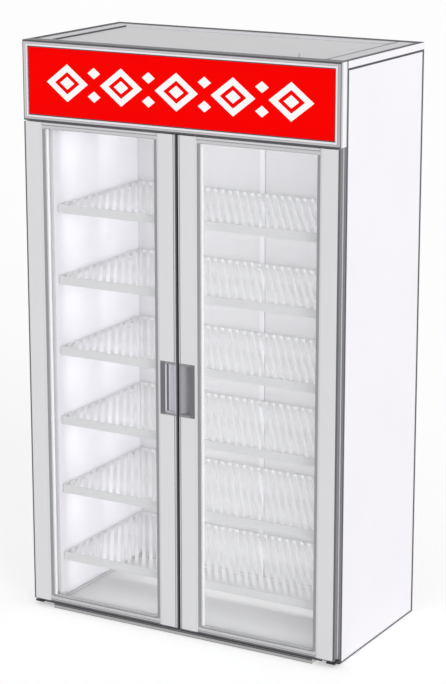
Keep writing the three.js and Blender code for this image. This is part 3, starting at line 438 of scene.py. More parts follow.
# The spacer's glow is painted light, which lifts it out of the shade between the panes.
spacer_bar = Finish("spacer_bar", Specular_IOR_Level=0.2, Roughness=0.35, Emission_Strength=0.12)
height = spacer_bar.axis("Z")
hole = (height * HOLES_PER_METRE).repeated() > 1 - HOLE_SHARE
upright = spacer_bar.blend(hole * HOLE_SHADE, (255, 255, 255), (190, 190, 194))
foot, head = (corner.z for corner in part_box("left_pane_spacer"))
across = 1 - (height > foot + SPACER_END) + (height > head - SPACER_END)
spacer_skin_and_glow = spacer_bar.blend(across, upright, (204, 204, 206))
spacer_bar.set(Base_Color=spacer_skin_and_glow, Emission_Color=spacer_skin_and_glow)

# %% [markdown]
# No folded, drawn or moulded part has a perfectly sharp edge. A copy of a node is merged, its
# flat triangles are dissolved into whole faces, and its sharp edges are beveled. Each new face
# is marked, so that the finishes can treat it as an edge. Bands mark strips of faces for
# joints, second colours and painted shade.

# %% Easing and marking
X, Y, Z = range(3)
MERGE_REACH = 0.00001
CUT_REACH = 0.0000005
FLAT_ANGLE = math.radians(0.5)
FACING_SHARE = 0.8


def merged_copy(node):
    """The node's mesh, merged and with its flat triangles dissolved into faces."""
    bm = bmesh.new()
    bm.from_mesh(frame["nodes"][node].data)
    bmesh.ops.remove_doubles(bm, verts=bm.verts, dist=MERGE_REACH)
    bmesh.ops.dissolve_limit(bm, angle_limit=FLAT_ANGLE, verts=bm.verts, edges=bm.edges)
    return bm


def sharp(bm, least=40, picked=None):
    """The edges where two faces meet at more than this many degrees."""
    return [edge for edge in bm.edges
            if edge.is_manifold and edge.calc_face_angle() > math.radians(least)
            and (picked is None or picked(edge))]


def edge_layer(bm):
    """Where each face keeps its mark, from 0 for plain to 1 for the fullest mark."""
    return bm.faces.layers.float.get("edge") or bm.faces.layers.float.new("edge")


def ease(bm, edges, radius, segments=2, mark=1.0):
    """Rounds edges, and marks the new faces for the finishes."""
    layer = edge_layer(bm)
    made = bmesh.ops.bevel(bm, geom=edges, offset=radius, offset_type="OFFSET", segments=segments,
                           profile=0.5, affect="EDGES", clamp_overlap=True, material=-1)
    for face in made["faces"]:
        face[layer] = mark


def on_axis(axis, length):
    """A vector of this length along one axis."""
    reach = Vector((0, 0, 0))
    reach[axis] = length
    return reach


def plane_cut(bm, axis, place):
    """Cuts every face that crosses one plane, square to an axis."""
    bmesh.ops.bisect_plane(bm, geom=bm.verts[:] + bm.edges[:] + bm.faces[:], dist=CUT_REACH,
                           plane_co=on_axis(axis, place), plane_no=on_axis(axis, 1))


def strip_faces(bm, axis, ends, facing):
    """The faces between two places on an axis that look one way."""
    start, end = sorted(ends)
    return [face for face in bm.faces if start < face.calc_center_median()[axis] < end
            and face.normal.dot(Vector(facing)) > FACING_SHARE]


def band(bm, axis, ends, facing, mark):
    """Marks a strip across the faces that look one way, as the eased edges are marked."""
    layer = edge_layer(bm)
    for place in ends:
        plane_cut(bm, axis, place)
    for face in strip_faces(bm, axis, ends, facing):
        face[layer] = max(face[layer], mark)


# %% [markdown]
# Other pieces start from a few points. A bar is its section, drawn along an axis, and a round
# part is its outline, spun about one. A flat shape is made lying down and then stood up.

# %% Drawing and turning
SPUN_REACH = 0.000002
UPRIGHT = Matrix.Rotation(math.pi / 2, 3, "X")


def flutes(bm, picked, width, depth):
    """Sinks a groove into each picked face."""
    bmesh.ops.inset_individual(bm, faces=picked, thickness=width, depth=-depth)


def extruded(bm, faces, along):
    """Draws faces out along a vector, and points all the faces outwards."""
    moved = bmesh.ops.extrude_face_region(bm, geom=faces)["geom"]
    verts = [part for part in moved if isinstance(part, bmesh.types.BMVert)]
    bmesh.ops.translate(bm, verts=verts, vec=along)
    bmesh.ops.recalc_face_normals(bm, faces=bm.faces[:])


def drawn(section, axis, ends, into=None):
    """A bar of one section, given by its corners across the axis, drawn between two ends."""
    bm = into or bmesh.new()
    across = [index for index in (X, Y, Z) if index != axis]
    corners = []
    for point in section:
        place = on_axis(axis, ends[0])
        place[across[0]], place[across[1]] = point
        corners.append(bm.verts.new(place))
    extruded(bm, [bm.faces.new(corners)], on_axis(axis, ends[1] - ends[0]))
    return bm


def turned(outline, centre, axis, steps=24, closed=False, into=None):
    """A round part: its outline of radius and height, spun a full turn about an axis."""
    bm = into or bmesh.new()
    axis = Vector(axis)
    across = axis.orthogonal().normalized()
    verts = [bm.verts.new(Vector(centre) + across * radius + axis * height)
             for radius, height in outline]
    ring = zip(verts, verts[1:] + verts[:1]) if closed else zip(verts, verts[1:])
    edges = [bm.edges.new(pair) for pair in ring]
    bmesh.ops.spin(bm, geom=verts + edges, cent=centre, axis=axis, angle=math.tau, steps=steps,
                   use_merge=True)
    bmesh.ops.remove_doubles(bm, verts=bm.verts[:], dist=SPUN_REACH)
    bmesh.ops.recalc_face_normals(bm, faces=bm.faces[:])
    return bm


def face_the_front(bm, verts, size, place):
    """Sizes a flat shape, stands it up to face the front and moves it to its place."""
    bmesh.ops.scale(bm, verts=verts, vec=(*size, 1))
    bmesh.ops.rotate(bm, verts=verts, cent=(0, 0, 0), matrix=UPRIGHT)
    bmesh.ops.translate(bm, verts=verts, vec=place)


# %% [markdown]
# A finished mesh becomes an object that rides on its body. Where it stands for a node, that
# node is hidden. Weighted normals keep large faces flat beside eased edges.

# %% Pieces
SMOOTH_ANGLE = math.radians(38)
ON_PLANE = 0.00002
OUTER_LEAST = 28
OUTER_SEGMENTS = 3


def body_of(node):
    return frame["nodes"][node]["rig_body"]


def add_piece(name, bm, body, finish):
    """Makes the object, and lets it ride on its body."""
    for edge in bm.edges:
        edge.smooth = not (edge.is_manifold and edge.calc_face_angle() > SMOOTH_ANGLE)
    for face in bm.faces:
        face.smooth = True
    mesh = bpy.data.meshes.new(name)
    bm.to_mesh(mesh)
    bm.free()
    mesh.materials.append(finish.material)
    piece = bpy.data.objects.new(name, mesh)
    bpy.context.scene.collection.objects.link(piece)
    evened = piece.modifiers.new("even shading", "WEIGHTED_NORMAL")
    evened.keep_sharp = True
    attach(piece, body)
    return piece


def replace_node(node, name, bm, finish):
    """Makes a piece that stands for a node, on its body, and hides the node."""
    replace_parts(add_piece(name, bm, body_of(node), finish), node)


def eased_piece(node, finish, word, radius, segments=2, outer=None, bands=(), grooves=None,
                mark=1.0):
    """A node with its edges rounded. Outer gives its outside folds a larger radius."""
    bm = merged_copy(node)
    low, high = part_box(node)
    if outer:
        def outside(edge):
            planes = [sum(abs(vert.co[axis] - side[axis]) < ON_PLANE for vert in edge.verts) == 2
                      for axis in (X, Y, Z) for side in (low, high)]
            return sum(planes) >= 2
        ease(bm, sharp(bm, OUTER_LEAST, outside), outer, OUTER_SEGMENTS)
    ease(bm, sharp(bm), radius, segments, mark)
    for strip in bands:
        band(bm, *strip)
    if grooves:
        grooves(bm)
    replace_node(node, f"{node}_{word}", bm, finish)


# %% [markdown]
# The outer skin comes first. These are folded sheets. Where two of them meet, or a sheet meets
# the floor, a dark joint is painted: sealant and bare metal along the cut edge, and painted
# shadow in the gap. Those joints are bands, each given by its axis, its two ends, the way its
# faces look and its mark. The outer strip of each panel's front face, seen in the gap behind
# the door, gets painted shade.

# %% Side panels
FRONT = (0, -1, 0)
BACK = (0, 1, 0)
LEFT = (-1, 0, 0)
RIGHT = (1, 0, 0)
UP = (0, 0, 1)
# The fullest mark, for dark joints and for lines of painted shadow.
FULL_MARK = 1
JOINT = 0.84
FOLD = 0.0032
REAR_RIM = 0.014
FRONT_RIM = 0.007
FOOT_RIM = 0.007
CAP_SEAM = 0.0038
FLANGE_LINE = 0.01
FLANGE_SHADE = 0.75

for side, hand in HANDS:
    low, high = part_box(f"{hand}_side_panel")
    out = (side, 0, 0)
    outer = high.x if side > 0 else low.x
    eased_piece(f"{hand}_side_panel", white_paint, "folded", 0.0005, outer=FOLD, bands=[
        (Y, (high.y - REAR_RIM, high.y), out, FULL_MARK),
        (Y, (low.y, low.y + FRONT_RIM), out, FULL_MARK),
        (Z, (low.z, low.z + FOOT_RIM), out, FULL_MARK),
        (Z, (high.z - CAP_SEAM, high.z), out, FULL_MARK),
        (X, (outer, outer - side * FLANGE_LINE), FRONT, FLANGE_SHADE)])

# %% [markdown]
# The roof cap is a lid with a wide opening, and the roof panel lies in it on ledges, a little
# below the rim. The cap's whole top gets a little painted shade, with darker lines along its
# left, right and rear edges. The rim's walls, the ledges and the seams between the two get
# painted shade, each in its own width.

# %% Roof cap and panel
CAP_SHADE = 0.12
CAP_SIDE_LINE = 0.034
CAP_RIGHT_SHADE = 0.9
CAP_REAR_LINE = 0.045
CAP_INNER_LINE = 0.014
CAP_LEDGE_SHADE = 0.6
CAP_WALL_SHADE = 0.15
ROOF_SEAM = 0.004
ROOF_REAR_SHADE = 0.2

low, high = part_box("roof_cap")
cap_bands = [(Z, (low.z, low.z + CAP_SEAM), facing, FULL_MARK) for facing in (RIGHT, LEFT, BACK)]
cap_bands += [
    (X, (low.x, high.x), UP, CAP_SHADE),
    (X, (low.x, low.x + CAP_SIDE_LINE), UP, FULL_MARK),
    (X, (high.x - CAP_SIDE_LINE / 2, high.x), UP, CAP_RIGHT_SHADE),
    (Y, (high.y - CAP_REAR_LINE, high.y), UP, FULL_MARK)]
low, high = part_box("roof_panel")
cap_bands += [
    (X, (low.x - CAP_INNER_LINE, low.x + CAP_INNER_LINE), RIGHT, FULL_MARK),
    (X, (high.x, high.x + CAP_INNER_LINE), UP, CAP_LEDGE_SHADE),
    (Y, (high.y - CAP_INNER_LINE, high.y + CAP_INNER_LINE), FRONT, CAP_WALL_SHADE)]
eased_piece("roof_cap", white_paint, "folded", 0.0006, outer=FOLD, bands=cap_bands)
eased_piece("roof_panel", roof_paint_and_shade, "laid", 0.0006, bands=[
    (X, (low.x, low.x + ROOF_SEAM), UP, JOINT),
    (X, (high.x - ROOF_SEAM, high.x), UP, JOINT),
    (Y, (high.y - ROOF_SEAM, high.y), UP, ROOF_REAR_SHADE)])

# %% [markdown]
# The back is one tall sheet. The deck's front edge runs out under the doors. Its face gets a
# little painted shade, and a line of painted shadow lies along its top, where the gap under the
# doors keeps the light away.

# %% Back and deck
NOSING_LINE = 0.0045
NOSING_SHADE = 0.3

eased_piece("back_panel", pale_paint, "folded", 0.0004, outer=0.0015)
deck_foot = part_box("base_deck")[0].z
deck_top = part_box("floor_tray")[0].z
eased_piece("base_deck", grey_paint, "folded", 0.0004, outer=0.002, bands=[
    (Z, (deck_foot, deck_top - NOSING_LINE), FRONT, NOSING_SHADE),
    (Z, (deck_top - NOSING_LINE, deck_top), FRONT, FULL_MARK)])
print("deck top", round(deck_top, 4))

# %% [markdown]
# The roof panel lifts out, so screws hold it down round its edge. Each is a pan head with a
# hexagon socket. One outline spun about the screw's axis makes the head, and all the heads are
# one mesh, because nothing tells them apart.

# %% Roof screws
SCREW_HEAD = [(0, 0.0008), (0.0015, 0.0008), (0.0015, 0.0019), (0.0021, 0.0022), (0.0031, 0.0018),
              (0.0036, 0.0009), (0.0036, -0.0002), (0, -0.0002)]
SCREW_STEPS = 12
SCREW_INSET = 0.013
SCREWS_LONG_WAY = 5

low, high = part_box("roof_panel")
screws = bmesh.new()
for row in (low.y + SCREW_INSET, high.y - SCREW_INSET):
    for index in range(SCREWS_LONG_WAY):
        share = index / (SCREWS_LONG_WAY - 1)
        x = low.x + SCREW_INSET + (high.x - low.x - 2 * SCREW_INSET) * share
        turned(SCREW_HEAD, (x, row, high.z), UP, SCREW_STEPS, into=screws)
add_piece("roof_screws", screws, body_of("roof_panel"), bright_zinc)

# %% [markdown]
# The short gland on the roof panel is a hexagon nut with a threaded, domed neck. The neck is a
# closed outline spun about the gland's axis, with a ring for each turn of the thread.

# %% Roof gland
GLAND_BORE = 0.0025
NECK_RADIUS = 0.0043
THREAD_DEPTH = 0.0005
THREAD_TURNS = 5
DOME_HEIGHT = 0.0035
DOME_SHARES = ((1, 1), (0.93, 0.3), (0.76, 0))
MOUTH_DROP = 0.2
NUT_HEIGHT = 0.006
NUT_LIFT = 0.0003

low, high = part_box("roof_gland")
centre = Vector(((low.x + high.x) / 2, (low.y + high.y) / 2, 0))
nut_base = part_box("roof_panel")[1].z + NUT_LIFT
thread_base = nut_base + NUT_HEIGHT
step = (high.z - DOME_HEIGHT - thread_base) / THREAD_TURNS
outline = [(GLAND_BORE, low.z), (NECK_RADIUS - THREAD_DEPTH, low.z)]
for index in range(THREAD_TURNS):
    outline.append((NECK_RADIUS - THREAD_DEPTH, thread_base + step * index))
    outline.append((NECK_RADIUS, thread_base + step * (index + 0.5)))
outline += [(NECK_RADIUS * wide, high.z - DOME_HEIGHT * down) for wide, down in DOME_SHARES]
outline.append((GLAND_BORE, high.z - DOME_HEIGHT * MOUTH_DROP))
neck = turned(outline, centre, UP, closed=True)
replace_node("roof_gland", "roof_gland_neck", neck, pale_moulding)

nut_radius = (high.x - low.x) / 2
nut = bmesh.new()
bmesh.ops.create_cone(nut, cap_ends=True, segments=6, radius1=nut_radius, radius2=nut_radius,
                      depth=NUT_HEIGHT)
bmesh.ops.translate(nut, verts=nut.verts, vec=centre + Vector((0, 0, nut_base + NUT_HEIGHT / 2)))
ease(nut, sharp(nut), 0.0004)
add_piece("roof_gland_nut", nut, body_of("roof_gland"), pale_moulding)

# %% [markdown]
# The sheets inside the cabin are seen through the glass. Light reaches the liners and the
# pilaster from all sides, so their folds get only a little painted shade.

# %% Inner skin
for node in ("left_liner", "right_liner"):
    eased_piece(node, liner_paint, "folded", 0.0008)
for node in ("back_liner", "ceiling_panel", "control_tray"):
    eased_piece(node, pale_paint, "folded", 0.0005)
eased_piece("floor_tray", grey_paint, "folded", 0.0005)
eased_piece("centre_pilaster", pilaster_paint, "pressed", 0.0008)
eased_piece("sign_reflector", white_paint, "folded", 0.0005)

# %% [markdown]
# Each shelf is one sheet with long slots on the slant, and the metal between two slots is
# rolled over so that food slides and crumbs fall through. The slats' edges therefore get a
# generous radius. The folded front lip is a shade darker than the slats.

# %% Slatted shelves
SHELVES = [f"shelf_{index}" for index in range(1, 7)]
LIP_DEPTH = 0.003
LIP_SHADE = 0.04

for node in SHELVES:
    low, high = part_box(node)
    eased_piece(node, shelf_coat, "slatted", 0.0011, bands=[
        (Y, (low.y - LIP_DEPTH, low.y + LIP_DEPTH), FRONT, LIP_SHADE)])

# %% [markdown]
# A door is a frame of four drawn bars. Each stile has a lower bead along the glass and, on the
# hinge side, a step behind its front lip, where the door clears the case as it swings. The
# step, the corner, the bead and the stile's foot lie in shadow, so they get painted shade, and
# a thin line of painted shade runs near the outer edge of the pull stile. The rails show their
# narrow faces between the sign or the deck and the glass, with painted shade on each face and
# a darker painted line along its foot.

# %% Door stiles and rails
FRAME_ROUND = 0.0008
FRAME_MARK = 0.5
CORNER_LINE = 0.003
BEAD = 0.009
BEAD_SHADE = 0.08
STEP_SHADE = 0.85
STILE_FOOT = 0.003
STILE_FOOT_SHADE = 0.9
EDGE_SHADE_LINE = (0.003, 0.0065)
EDGE_LINE_SHADE = 0.8
RAILS = (("top", 0.15, 0.003, 0.6), ("bottom", 0.3, 0.006, 1))

for side, hand in HANDS:
    out = (side, 0, 0)
    low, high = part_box(f"{hand}_hinge_stile")
    outer, inner = (high.x, low.x) if side > 0 else (low.x, high.x)
    foot = (Z, (low.z, low.z + STILE_FOOT), FRONT, STILE_FOOT_SHADE)
    eased_piece(f"{hand}_hinge_stile", anodised_upright, "drawn", FRAME_ROUND, bands=[
        (X, (outer, outer - side * CORNER_LINE), FRONT, FULL_MARK),
        (X, (inner, inner + side * BEAD), FRONT, BEAD_SHADE),
        (Y, (low.y, high.y), out, STEP_SHADE), foot], mark=FRAME_MARK)
    low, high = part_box(f"{hand}_pull_stile")
    outer, inner = (low.x, high.x) if side > 0 else (high.x, low.x)
    eased_piece(f"{hand}_pull_stile", anodised_upright, "drawn", FRAME_ROUND, bands=[
        (X, [outer + side * place for place in EDGE_SHADE_LINE], FRONT, EDGE_LINE_SHADE),
        (X, (inner, inner - side * BEAD), FRONT, BEAD_SHADE), foot], mark=FRAME_MARK)
    for rail, face_shade, line, line_shade in RAILS:
        low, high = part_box(f"{hand}_{rail}_rail")
        eased_piece(f"{hand}_{rail}_rail", anodised_across, "drawn", FRAME_ROUND, bands=[
            (Z, (low.z, high.z), FRONT, face_shade),
            (Z, (low.z, low.z + line), FRONT, line_shade)])

# %% [markdown]
# A moulded strip is glued over the sharp outer corner of each door, flush with the sign box
# above. It gives the door its dark outline. Its section is an angle with a rounded nose.

# %% Corner strips
STRIP_SECTION = [(0, 0), (0.0023, 0), (0.0035, 0.0012), (0.0035, 0.005), (0, 0.005)]
STRIP_GAP = 0.001

for side, hand in HANDS:
    low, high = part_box(f"{hand}_hinge_stile")
    root = high.x if side > 0 else low.x
    section = [(root + side * reach, low.y + depth) for reach, depth in STRIP_SECTION]
    strip = drawn(section, Z, (low.z + STRIP_GAP, high.z - STRIP_GAP))
    ease(strip, sharp(strip, 50), 0.0004, mark=0.5)
    add_piece(f"{hand}_corner_strip", strip, f"{hand}_door", edge_moulding)

# %% [markdown]
# Each door holds two panes with a spacer bar between them. A soft grey gasket grips them all
# round, and its short ends at the top and bottom are paler. A thick round one on the door's
# rear closes against the case.

# %% Panes and their seals
GASKET_END = 0.012

for hand in ("left", "right"):
    for part in ("front_pane", "rear_pane"):
        eased_piece(f"{hand}_{part}", clear_glass, "ground", 0.0006, segments=1)
    eased_piece(f"{hand}_pane_spacer", spacer_bar, "formed", 0.0008)
    low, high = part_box(f"{hand}_glazing_gasket")
    eased_piece(f"{hand}_glazing_gasket", grey_rubber, "moulded", 0.0012, segments=3, bands=[
        (Z, (low.z, low.z + GASKET_END), FRONT, FULL_MARK),
        (Z, (high.z - GASKET_END, high.z), FRONT, FULL_MARK)], mark=0)
    eased_piece(f"{hand}_door_gasket", black_rubber, "moulded", 0.0028, segments=4)

# %% [markdown]
# Where the two doors meet, each has a soft fin seal. Its section has a web along the stile and
# three fins that reach towards the other door, given in shares of the seal's own width and
# depth. A sweep of the same rubber hangs under each door, a flange with a lip that nearly
# touches the deck. Its black also stands for the shadow in the gap under the door, a painted
# shadow.

# %% Meeting seals and door sweeps
FIN_SHARES = [(0, 0), (0.5, 0), (1, 0.07), (1, 0.12), (0.45, 0.2), (0.45, 0.4), (1, 0.47),
              (1, 0.52), (0.45, 0.6), (0.45, 0.8), (1, 0.88), (1, 0.94), (0.5, 1), (0, 1)]
SWEEP_SECTION = [(0.0015, 0), (0.0015, -0.0015), (0.0025, -0.0015), (0.0025, -0.0065),
                 (0.006, -0.0065), (0.006, -0.0015), (0.022, -0.0015), (0.022, 0)]
SWEEP_INSET = 0.044

for side, hand in HANDS:
    low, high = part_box(f"{hand}_meeting_seal")
    root, tip = (high.x, low.x) if side > 0 else (low.x, high.x)
    section = [(root + (tip - root) * reach, low.y + (high.y - low.y) * back)
               for reach, back in FIN_SHARES]
    seal = drawn(section, Z, (low.z, high.z))
    replace_node(f"{hand}_meeting_seal", f"{hand}_fin_seal", seal, black_rubber)
    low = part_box(f"{hand}_bottom_rail")[0]
    section = [(low.y + depth, low.z + rise) for depth, rise in SWEEP_SECTION]
    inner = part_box(f"{hand}_pull_stile")[0 if side > 0 else 1].x
    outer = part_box(f"{hand}_hinge_stile")[1 if side > 0 else 0].x
    sweep = drawn(section, X, sorted((inner, outer - side * SWEEP_INSET)))
    add_piece(f"{hand}_door_sweep", sweep, f"{hand}_door", black_rubber)

# %% [markdown]
# The pull is a grey moulding let into the stile. Both pockets are pale inside, and the right
# one gets painted shade, so it reads a darker grey. Both ends of the pull's face get painted
# shade too. The grip beside the pocket is dark and fluted, so that a warm hand doesn't slip.
# The flutes are strips of its face, sunk in.

# %% Door pulls
MOUTH_SHARE = 0.68
PULL_END = 0.008
END_SHADE = 0.8
POCKET_SHADES = {"left": 0, "right": 0.75}
FLUTES = 5
FLUTE_SHARES = (0.2, 0.8)
FLUTE_SLOPE = 0.0003
FLUTE_DEPTH = 0.0008
GRIP_MARGIN = 0.08

for side, hand in HANDS:
    low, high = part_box(f"{hand}_pull")
    near, far = (low.x, high.x) if side > 0 else (high.x, low.x)
    mouth = near + (far - near) * MOUTH_SHARE
    grip = far - mouth
    bm = merged_copy(f"{hand}_pull")
    ease(bm, sharp(bm), 0.001, segments=3)
    band(bm, X, (mouth, far), FRONT, FULL_MARK)
    # Painted shade inside the pocket: none on the left door, much on the right.
    layer = edge_layer(bm)
    for face in bm.faces:
        if min(near, mouth) < face.calc_center_median().x < max(near, mouth):
            face[layer] = max(face[layer], POCKET_SHADES[hand])
    # Painted shade at both ends of the pull's face.
    band(bm, Z, (low.z, low.z + PULL_END), FRONT, END_SHADE)
    band(bm, Z, (high.z - PULL_END, high.z), FRONT, END_SHADE)
    pitch = grip * (1 - 2 * GRIP_MARGIN) / FLUTES
    strips = [[mouth + grip * GRIP_MARGIN + pitch * (index + share) for share in FLUTE_SHARES]
              for index in range(FLUTES)]
    for place in sum(strips, []):
        plane_cut(bm, X, place)
    picked = [face for ends in strips for face in strip_faces(bm, X, ends, FRONT)
              if low.z + PULL_END < face.calc_center_median().z < high.z - PULL_END]
    bmesh.ops.inset_region(bm, faces=picked, thickness=FLUTE_SLOPE, depth=-FLUTE_DEPTH,
                           use_even_offset=True)
    replace_node(f"{hand}_pull", f"{hand}_pull_moulded", bm, pull_moulding)
    print(hand, "pull has", FLUTES, "flutes")

# %% [markdown]
# Each door turns on two steel pins, one on a bracket at its foot and one in the sign box. They
# are turned parts, so a small radius on their edges is all they need.

# %% Hinge pivots
for hand in ("left", "right"):
    eased_piece(f"{hand}_top_pivot", dark_steel, "turned", 0.0008)
    eased_piece(f"{hand}_bottom_bracket", dark_steel, "turned", 0.0008)

# %% [markdown]
# The sign box is a shell with a white trim in its window, and the red sheet lies behind the
# trim. The top of the shell meets the roof cap, and its rear edge meets the side panels. The
# shell's top, its border round the trim, its corners and the front of its right side get
# painted shade, a little different on each side.

# %% Sign box and trim
BOX_CORNER = 0.004
BOX_EDGE = 0.006
BOX_RETURN = 0.012
TOP_SHADE = 0.8
RETURN_SHADE = 0.45
BORDER_SHADES = {"top": 0.35, "foot": 0.4, "left": 0.3, "right": 0.5}
CORNER_SHADES = {"left": 0.9, "right": 0.6}

low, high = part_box("sign_box")
trim_low, trim_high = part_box("sign_trim")
eased_piece("sign_box", white_paint, "folded", 0.0006, outer=FOLD, bands=[
    (Y, (high.y - FRONT_RIM, high.y), LEFT, JOINT),
    (Y, (high.y - FRONT_RIM, high.y), RIGHT, JOINT),
    (Y, (low.y, high.y), UP, TOP_SHADE),
    (Z, (trim_high.z, high.z), FRONT, BORDER_SHADES["top"]),
    (Z, (high.z - BOX_EDGE, high.z), FRONT, FULL_MARK),
    (Z, (low.z, trim_low.z), FRONT, BORDER_SHADES["foot"]),
    (Z, (low.z, low.z + BOX_EDGE), FRONT, FULL_MARK),
    (X, (low.x, trim_low.x), FRONT, BORDER_SHADES["left"]),
    (X, (low.x, low.x + BOX_CORNER), FRONT, CORNER_SHADES["left"]),
    (X, (trim_high.x, high.x), FRONT, BORDER_SHADES["right"]),
    (X, (high.x - BOX_CORNER, high.x), FRONT, CORNER_SHADES["right"]),
    (Y, (low.y, low.y + BOX_RETURN), RIGHT, RETURN_SHADE)])
eased_piece("sign_trim", white_paint, "drawn", 0.0006)
eased_piece("sign_panel", red_acrylic, "sawn", 0.0005, segments=1)

# %% [markdown]
# A thin dark gasket lies on the red sheet, just inside the trim, and it also stands for the
# shadow that the trim casts there: a painted shadow. A flat grid of one face is sized to the
# window and inset, its middle is deleted, and the rim that is left is drawn out.

# %% Sign gasket
GASKET_WIDTH = 0.0028
GASKET_HEIGHT = 0.001
TRIM_WIDTH = 0.008

sign_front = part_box("sign_panel")[0].y
sign_middle = (trim_low + trim_high) / 2
trim_size = trim_high - trim_low
window = (trim_size.x - 2 * TRIM_WIDTH, trim_size.z - 2 * TRIM_WIDTH)
gasket = bmesh.new()
bmesh.ops.create_grid(gasket, x_segments=1, y_segments=1, size=0.5)
face_the_front(gasket, gasket.verts, window, (sign_middle.x, sign_front, sign_middle.z))
rim = bmesh.ops.inset_region(gasket, faces=gasket.faces[:], thickness=GASKET_WIDTH,
                             use_even_offset=True, use_boundary=True)["faces"]
inside = [face for face in gasket.faces if face not in rim]
bmesh.ops.delete(gasket, geom=inside, context="FACES")
extruded(gasket, gasket.faces[:], (0, -GASKET_HEIGHT, 0))
ease(gasket, sharp(gasket, 50), 0.0003, mark=0.4)
print("sign gasket faces", len(gasket.faces))
add_piece("sign_gasket_and_shadow", gasket, body_of("sign_panel"), black_rubber)

# %% [markdown]
# White film decorates the red sheet. The pattern is the plainest one that sign makers cut:
# a row of ringed lozenges with small ones between them. A lozenge is a circle of four points,
# scaled. Bridging two of them makes a ring.

# %% Film on the sign
FILM = 0.00025
LOZENGE = Vector((0.083, 0.064))
LOZENGE_PITCH = 0.215
LOZENGE_COUNT = 5
RING_SHARE = 0.6
CORE_SHARE = 0.34
SMALL_SHARE = 0.3
SMALL_RISE = 0.62


def lozenge(bm, x, rise, size):
    """Four points on the sheet, joined in a ring. Rise is from the sign's middle."""
    verts = bmesh.ops.create_circle(bm, cap_ends=False, segments=4, radius=1)["verts"]
    face_the_front(bm, verts, size, (x, sign_front, sign_middle.z + rise))
    return list({edge for vert in verts for edge in vert.link_edges})


film = bmesh.new()
for index in range(LOZENGE_COUNT):
    x = (index - (LOZENGE_COUNT - 1) / 2) * LOZENGE_PITCH
    ring = lozenge(film, x, 0, LOZENGE) + lozenge(film, x, 0, LOZENGE * RING_SHARE)
    bmesh.ops.bridge_loops(film, edges=ring)
    bmesh.ops.contextual_create(film, geom=lozenge(film, x, 0, LOZENGE * CORE_SHARE))
    if index:
        for rise in (-SMALL_RISE * LOZENGE.y, SMALL_RISE * LOZENGE.y):
            small = lozenge(film, x - LOZENGE_PITCH / 2, rise, LOZENGE * SMALL_SHARE)
            bmesh.ops.contextual_create(film, geom=small)
extruded(film, film.faces[:], (0, -FILM, 0))
add_piece("sign_film", film, body_of("sign_panel"), white_film)

# %% [markdown]
# Behind the sheet lies the lamp, one long tube. Its edges are eased without a mark, and then
# the last stretch at each end is marked, which makes it a metal cap.

# %% Sign lamp
LAMP_CAP = 0.014

lamp_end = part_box("sign_lamp")[1].x
bm = merged_copy("sign_lamp")
ease(bm, sharp(bm), 0.0012, segments=3, mark=0)
layer = edge_layer(bm)
for face in bm.faces:
    if abs(face.calc_center_median().x) > lamp_end - LAMP_CAP:
        face[layer] = 1
replace_node("sign_lamp", "sign_lamp_blown", bm, lamp_tube)

# %% [markdown]
# Behind the sign are the blower, its motor and the heater duct. They are pressed from zinc
# coated sheet. The motor's shell is cast with cooling flutes, which are grooves sunk into each
# of the tall faces round its side.

# %% Machine compartment
MOTOR_LEAN = 0.1
MOTOR_SIDE = 0.97
MOTOR_FACE = 0.0001


def side_faces(bm, node, axis, lean, side_share, least_area):
    """The tall faces round a round node's side, which look away from its axis."""
    low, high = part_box(node)
    middle = (low + high) / 2
    reach = (high.x - low.x) / 2 * side_share
    across = [index for index in (X, Y, Z) if index != axis]

    def beside(face):
        from_axis = face.calc_center_median() - middle
        far_out = math.hypot(*[from_axis[index] for index in across]) > reach
        return abs(face.normal[axis]) < lean and far_out
    return [face for face in bm.faces if beside(face) and face.calc_area() > least_area]


def cooling_flutes(bm):
    tall = side_faces(bm, "blower_motor", Z, MOTOR_LEAN, MOTOR_SIDE, MOTOR_FACE)
    flutes(bm, tall, 0.0012, 0.002)
    print("motor flutes", len(tall))


for node in ("blower_housing", "blower_impeller", "heater_duct"):
    eased_piece(node, galvanised, "pressed", 0.0004, segments=1)
eased_piece("heater_element", sheath, "bent", 0.0003, segments=1)
eased_piece("blower_motor", dark_steel, "cast", 0.0006, grooves=cooling_flutes)

# %% [markdown]
# At the back, the sheet over the machines has rows of slots. Behind each slot leans a blade, so
# air passes and a finger or a drip doesn't. The blades are one section, drawn along each slot.

# %% Louvre blades
LOUVRE_ROWS = 6
LOUVRE_PITCH = 0.020
LOUVRE_LENGTH = 0.184
LOUVRE_CENTRES = (-0.190, 0.095)
BLADE_SECTION = [(-0.0016, -0.0052), (-0.0028, -0.0052), (-0.0118, 0.0058), (-0.0106, 0.0058)]

back_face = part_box("back_panel")[1].y
louvre_middle = (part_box("sign_box")[0].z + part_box("roof_cap")[0].z) / 2
blades = bmesh.new()
for centre in LOUVRE_CENTRES:
    for row in range(LOUVRE_ROWS):
        z = louvre_middle + (row - (LOUVRE_ROWS - 1) / 2) * LOUVRE_PITCH
        section = [(back_face + depth, z + rise) for depth, rise in BLADE_SECTION]
        drawn(section, X, (centre - LOUVRE_LENGTH / 2, centre + LOUVRE_LENGTH / 2), into=blades)
add_piece("louvre_blades", blades, body_of("back_panel"), pale_paint)

# %% [markdown]
# The controls sit in a tray in the back panel. The knob has a fluted skirt, and a ring of
# ticks on the tray shows how far it is turned. The two rockers are plain.

# %% Knob and rockers
KNOB_LEAN = 0.35
KNOB_SIDE = 0.85
KNOB_FACE = 0.00003


def knob_flutes(bm):
    tall = side_faces(bm, "thermostat_knob", Y, KNOB_LEAN, KNOB_SIDE, KNOB_FACE)
    flutes(bm, tall, 0.0008, 0.0011)
    print("knob flutes", len(tall))


eased_piece("thermostat_knob", black_plastic, "moulded", 0.0005, grooves=knob_flutes)
for node in ("thermostat_body", "power_rocker", "lamp_rocker"):
    eased_piece(node, black_plastic, "moulded", 0.0005)

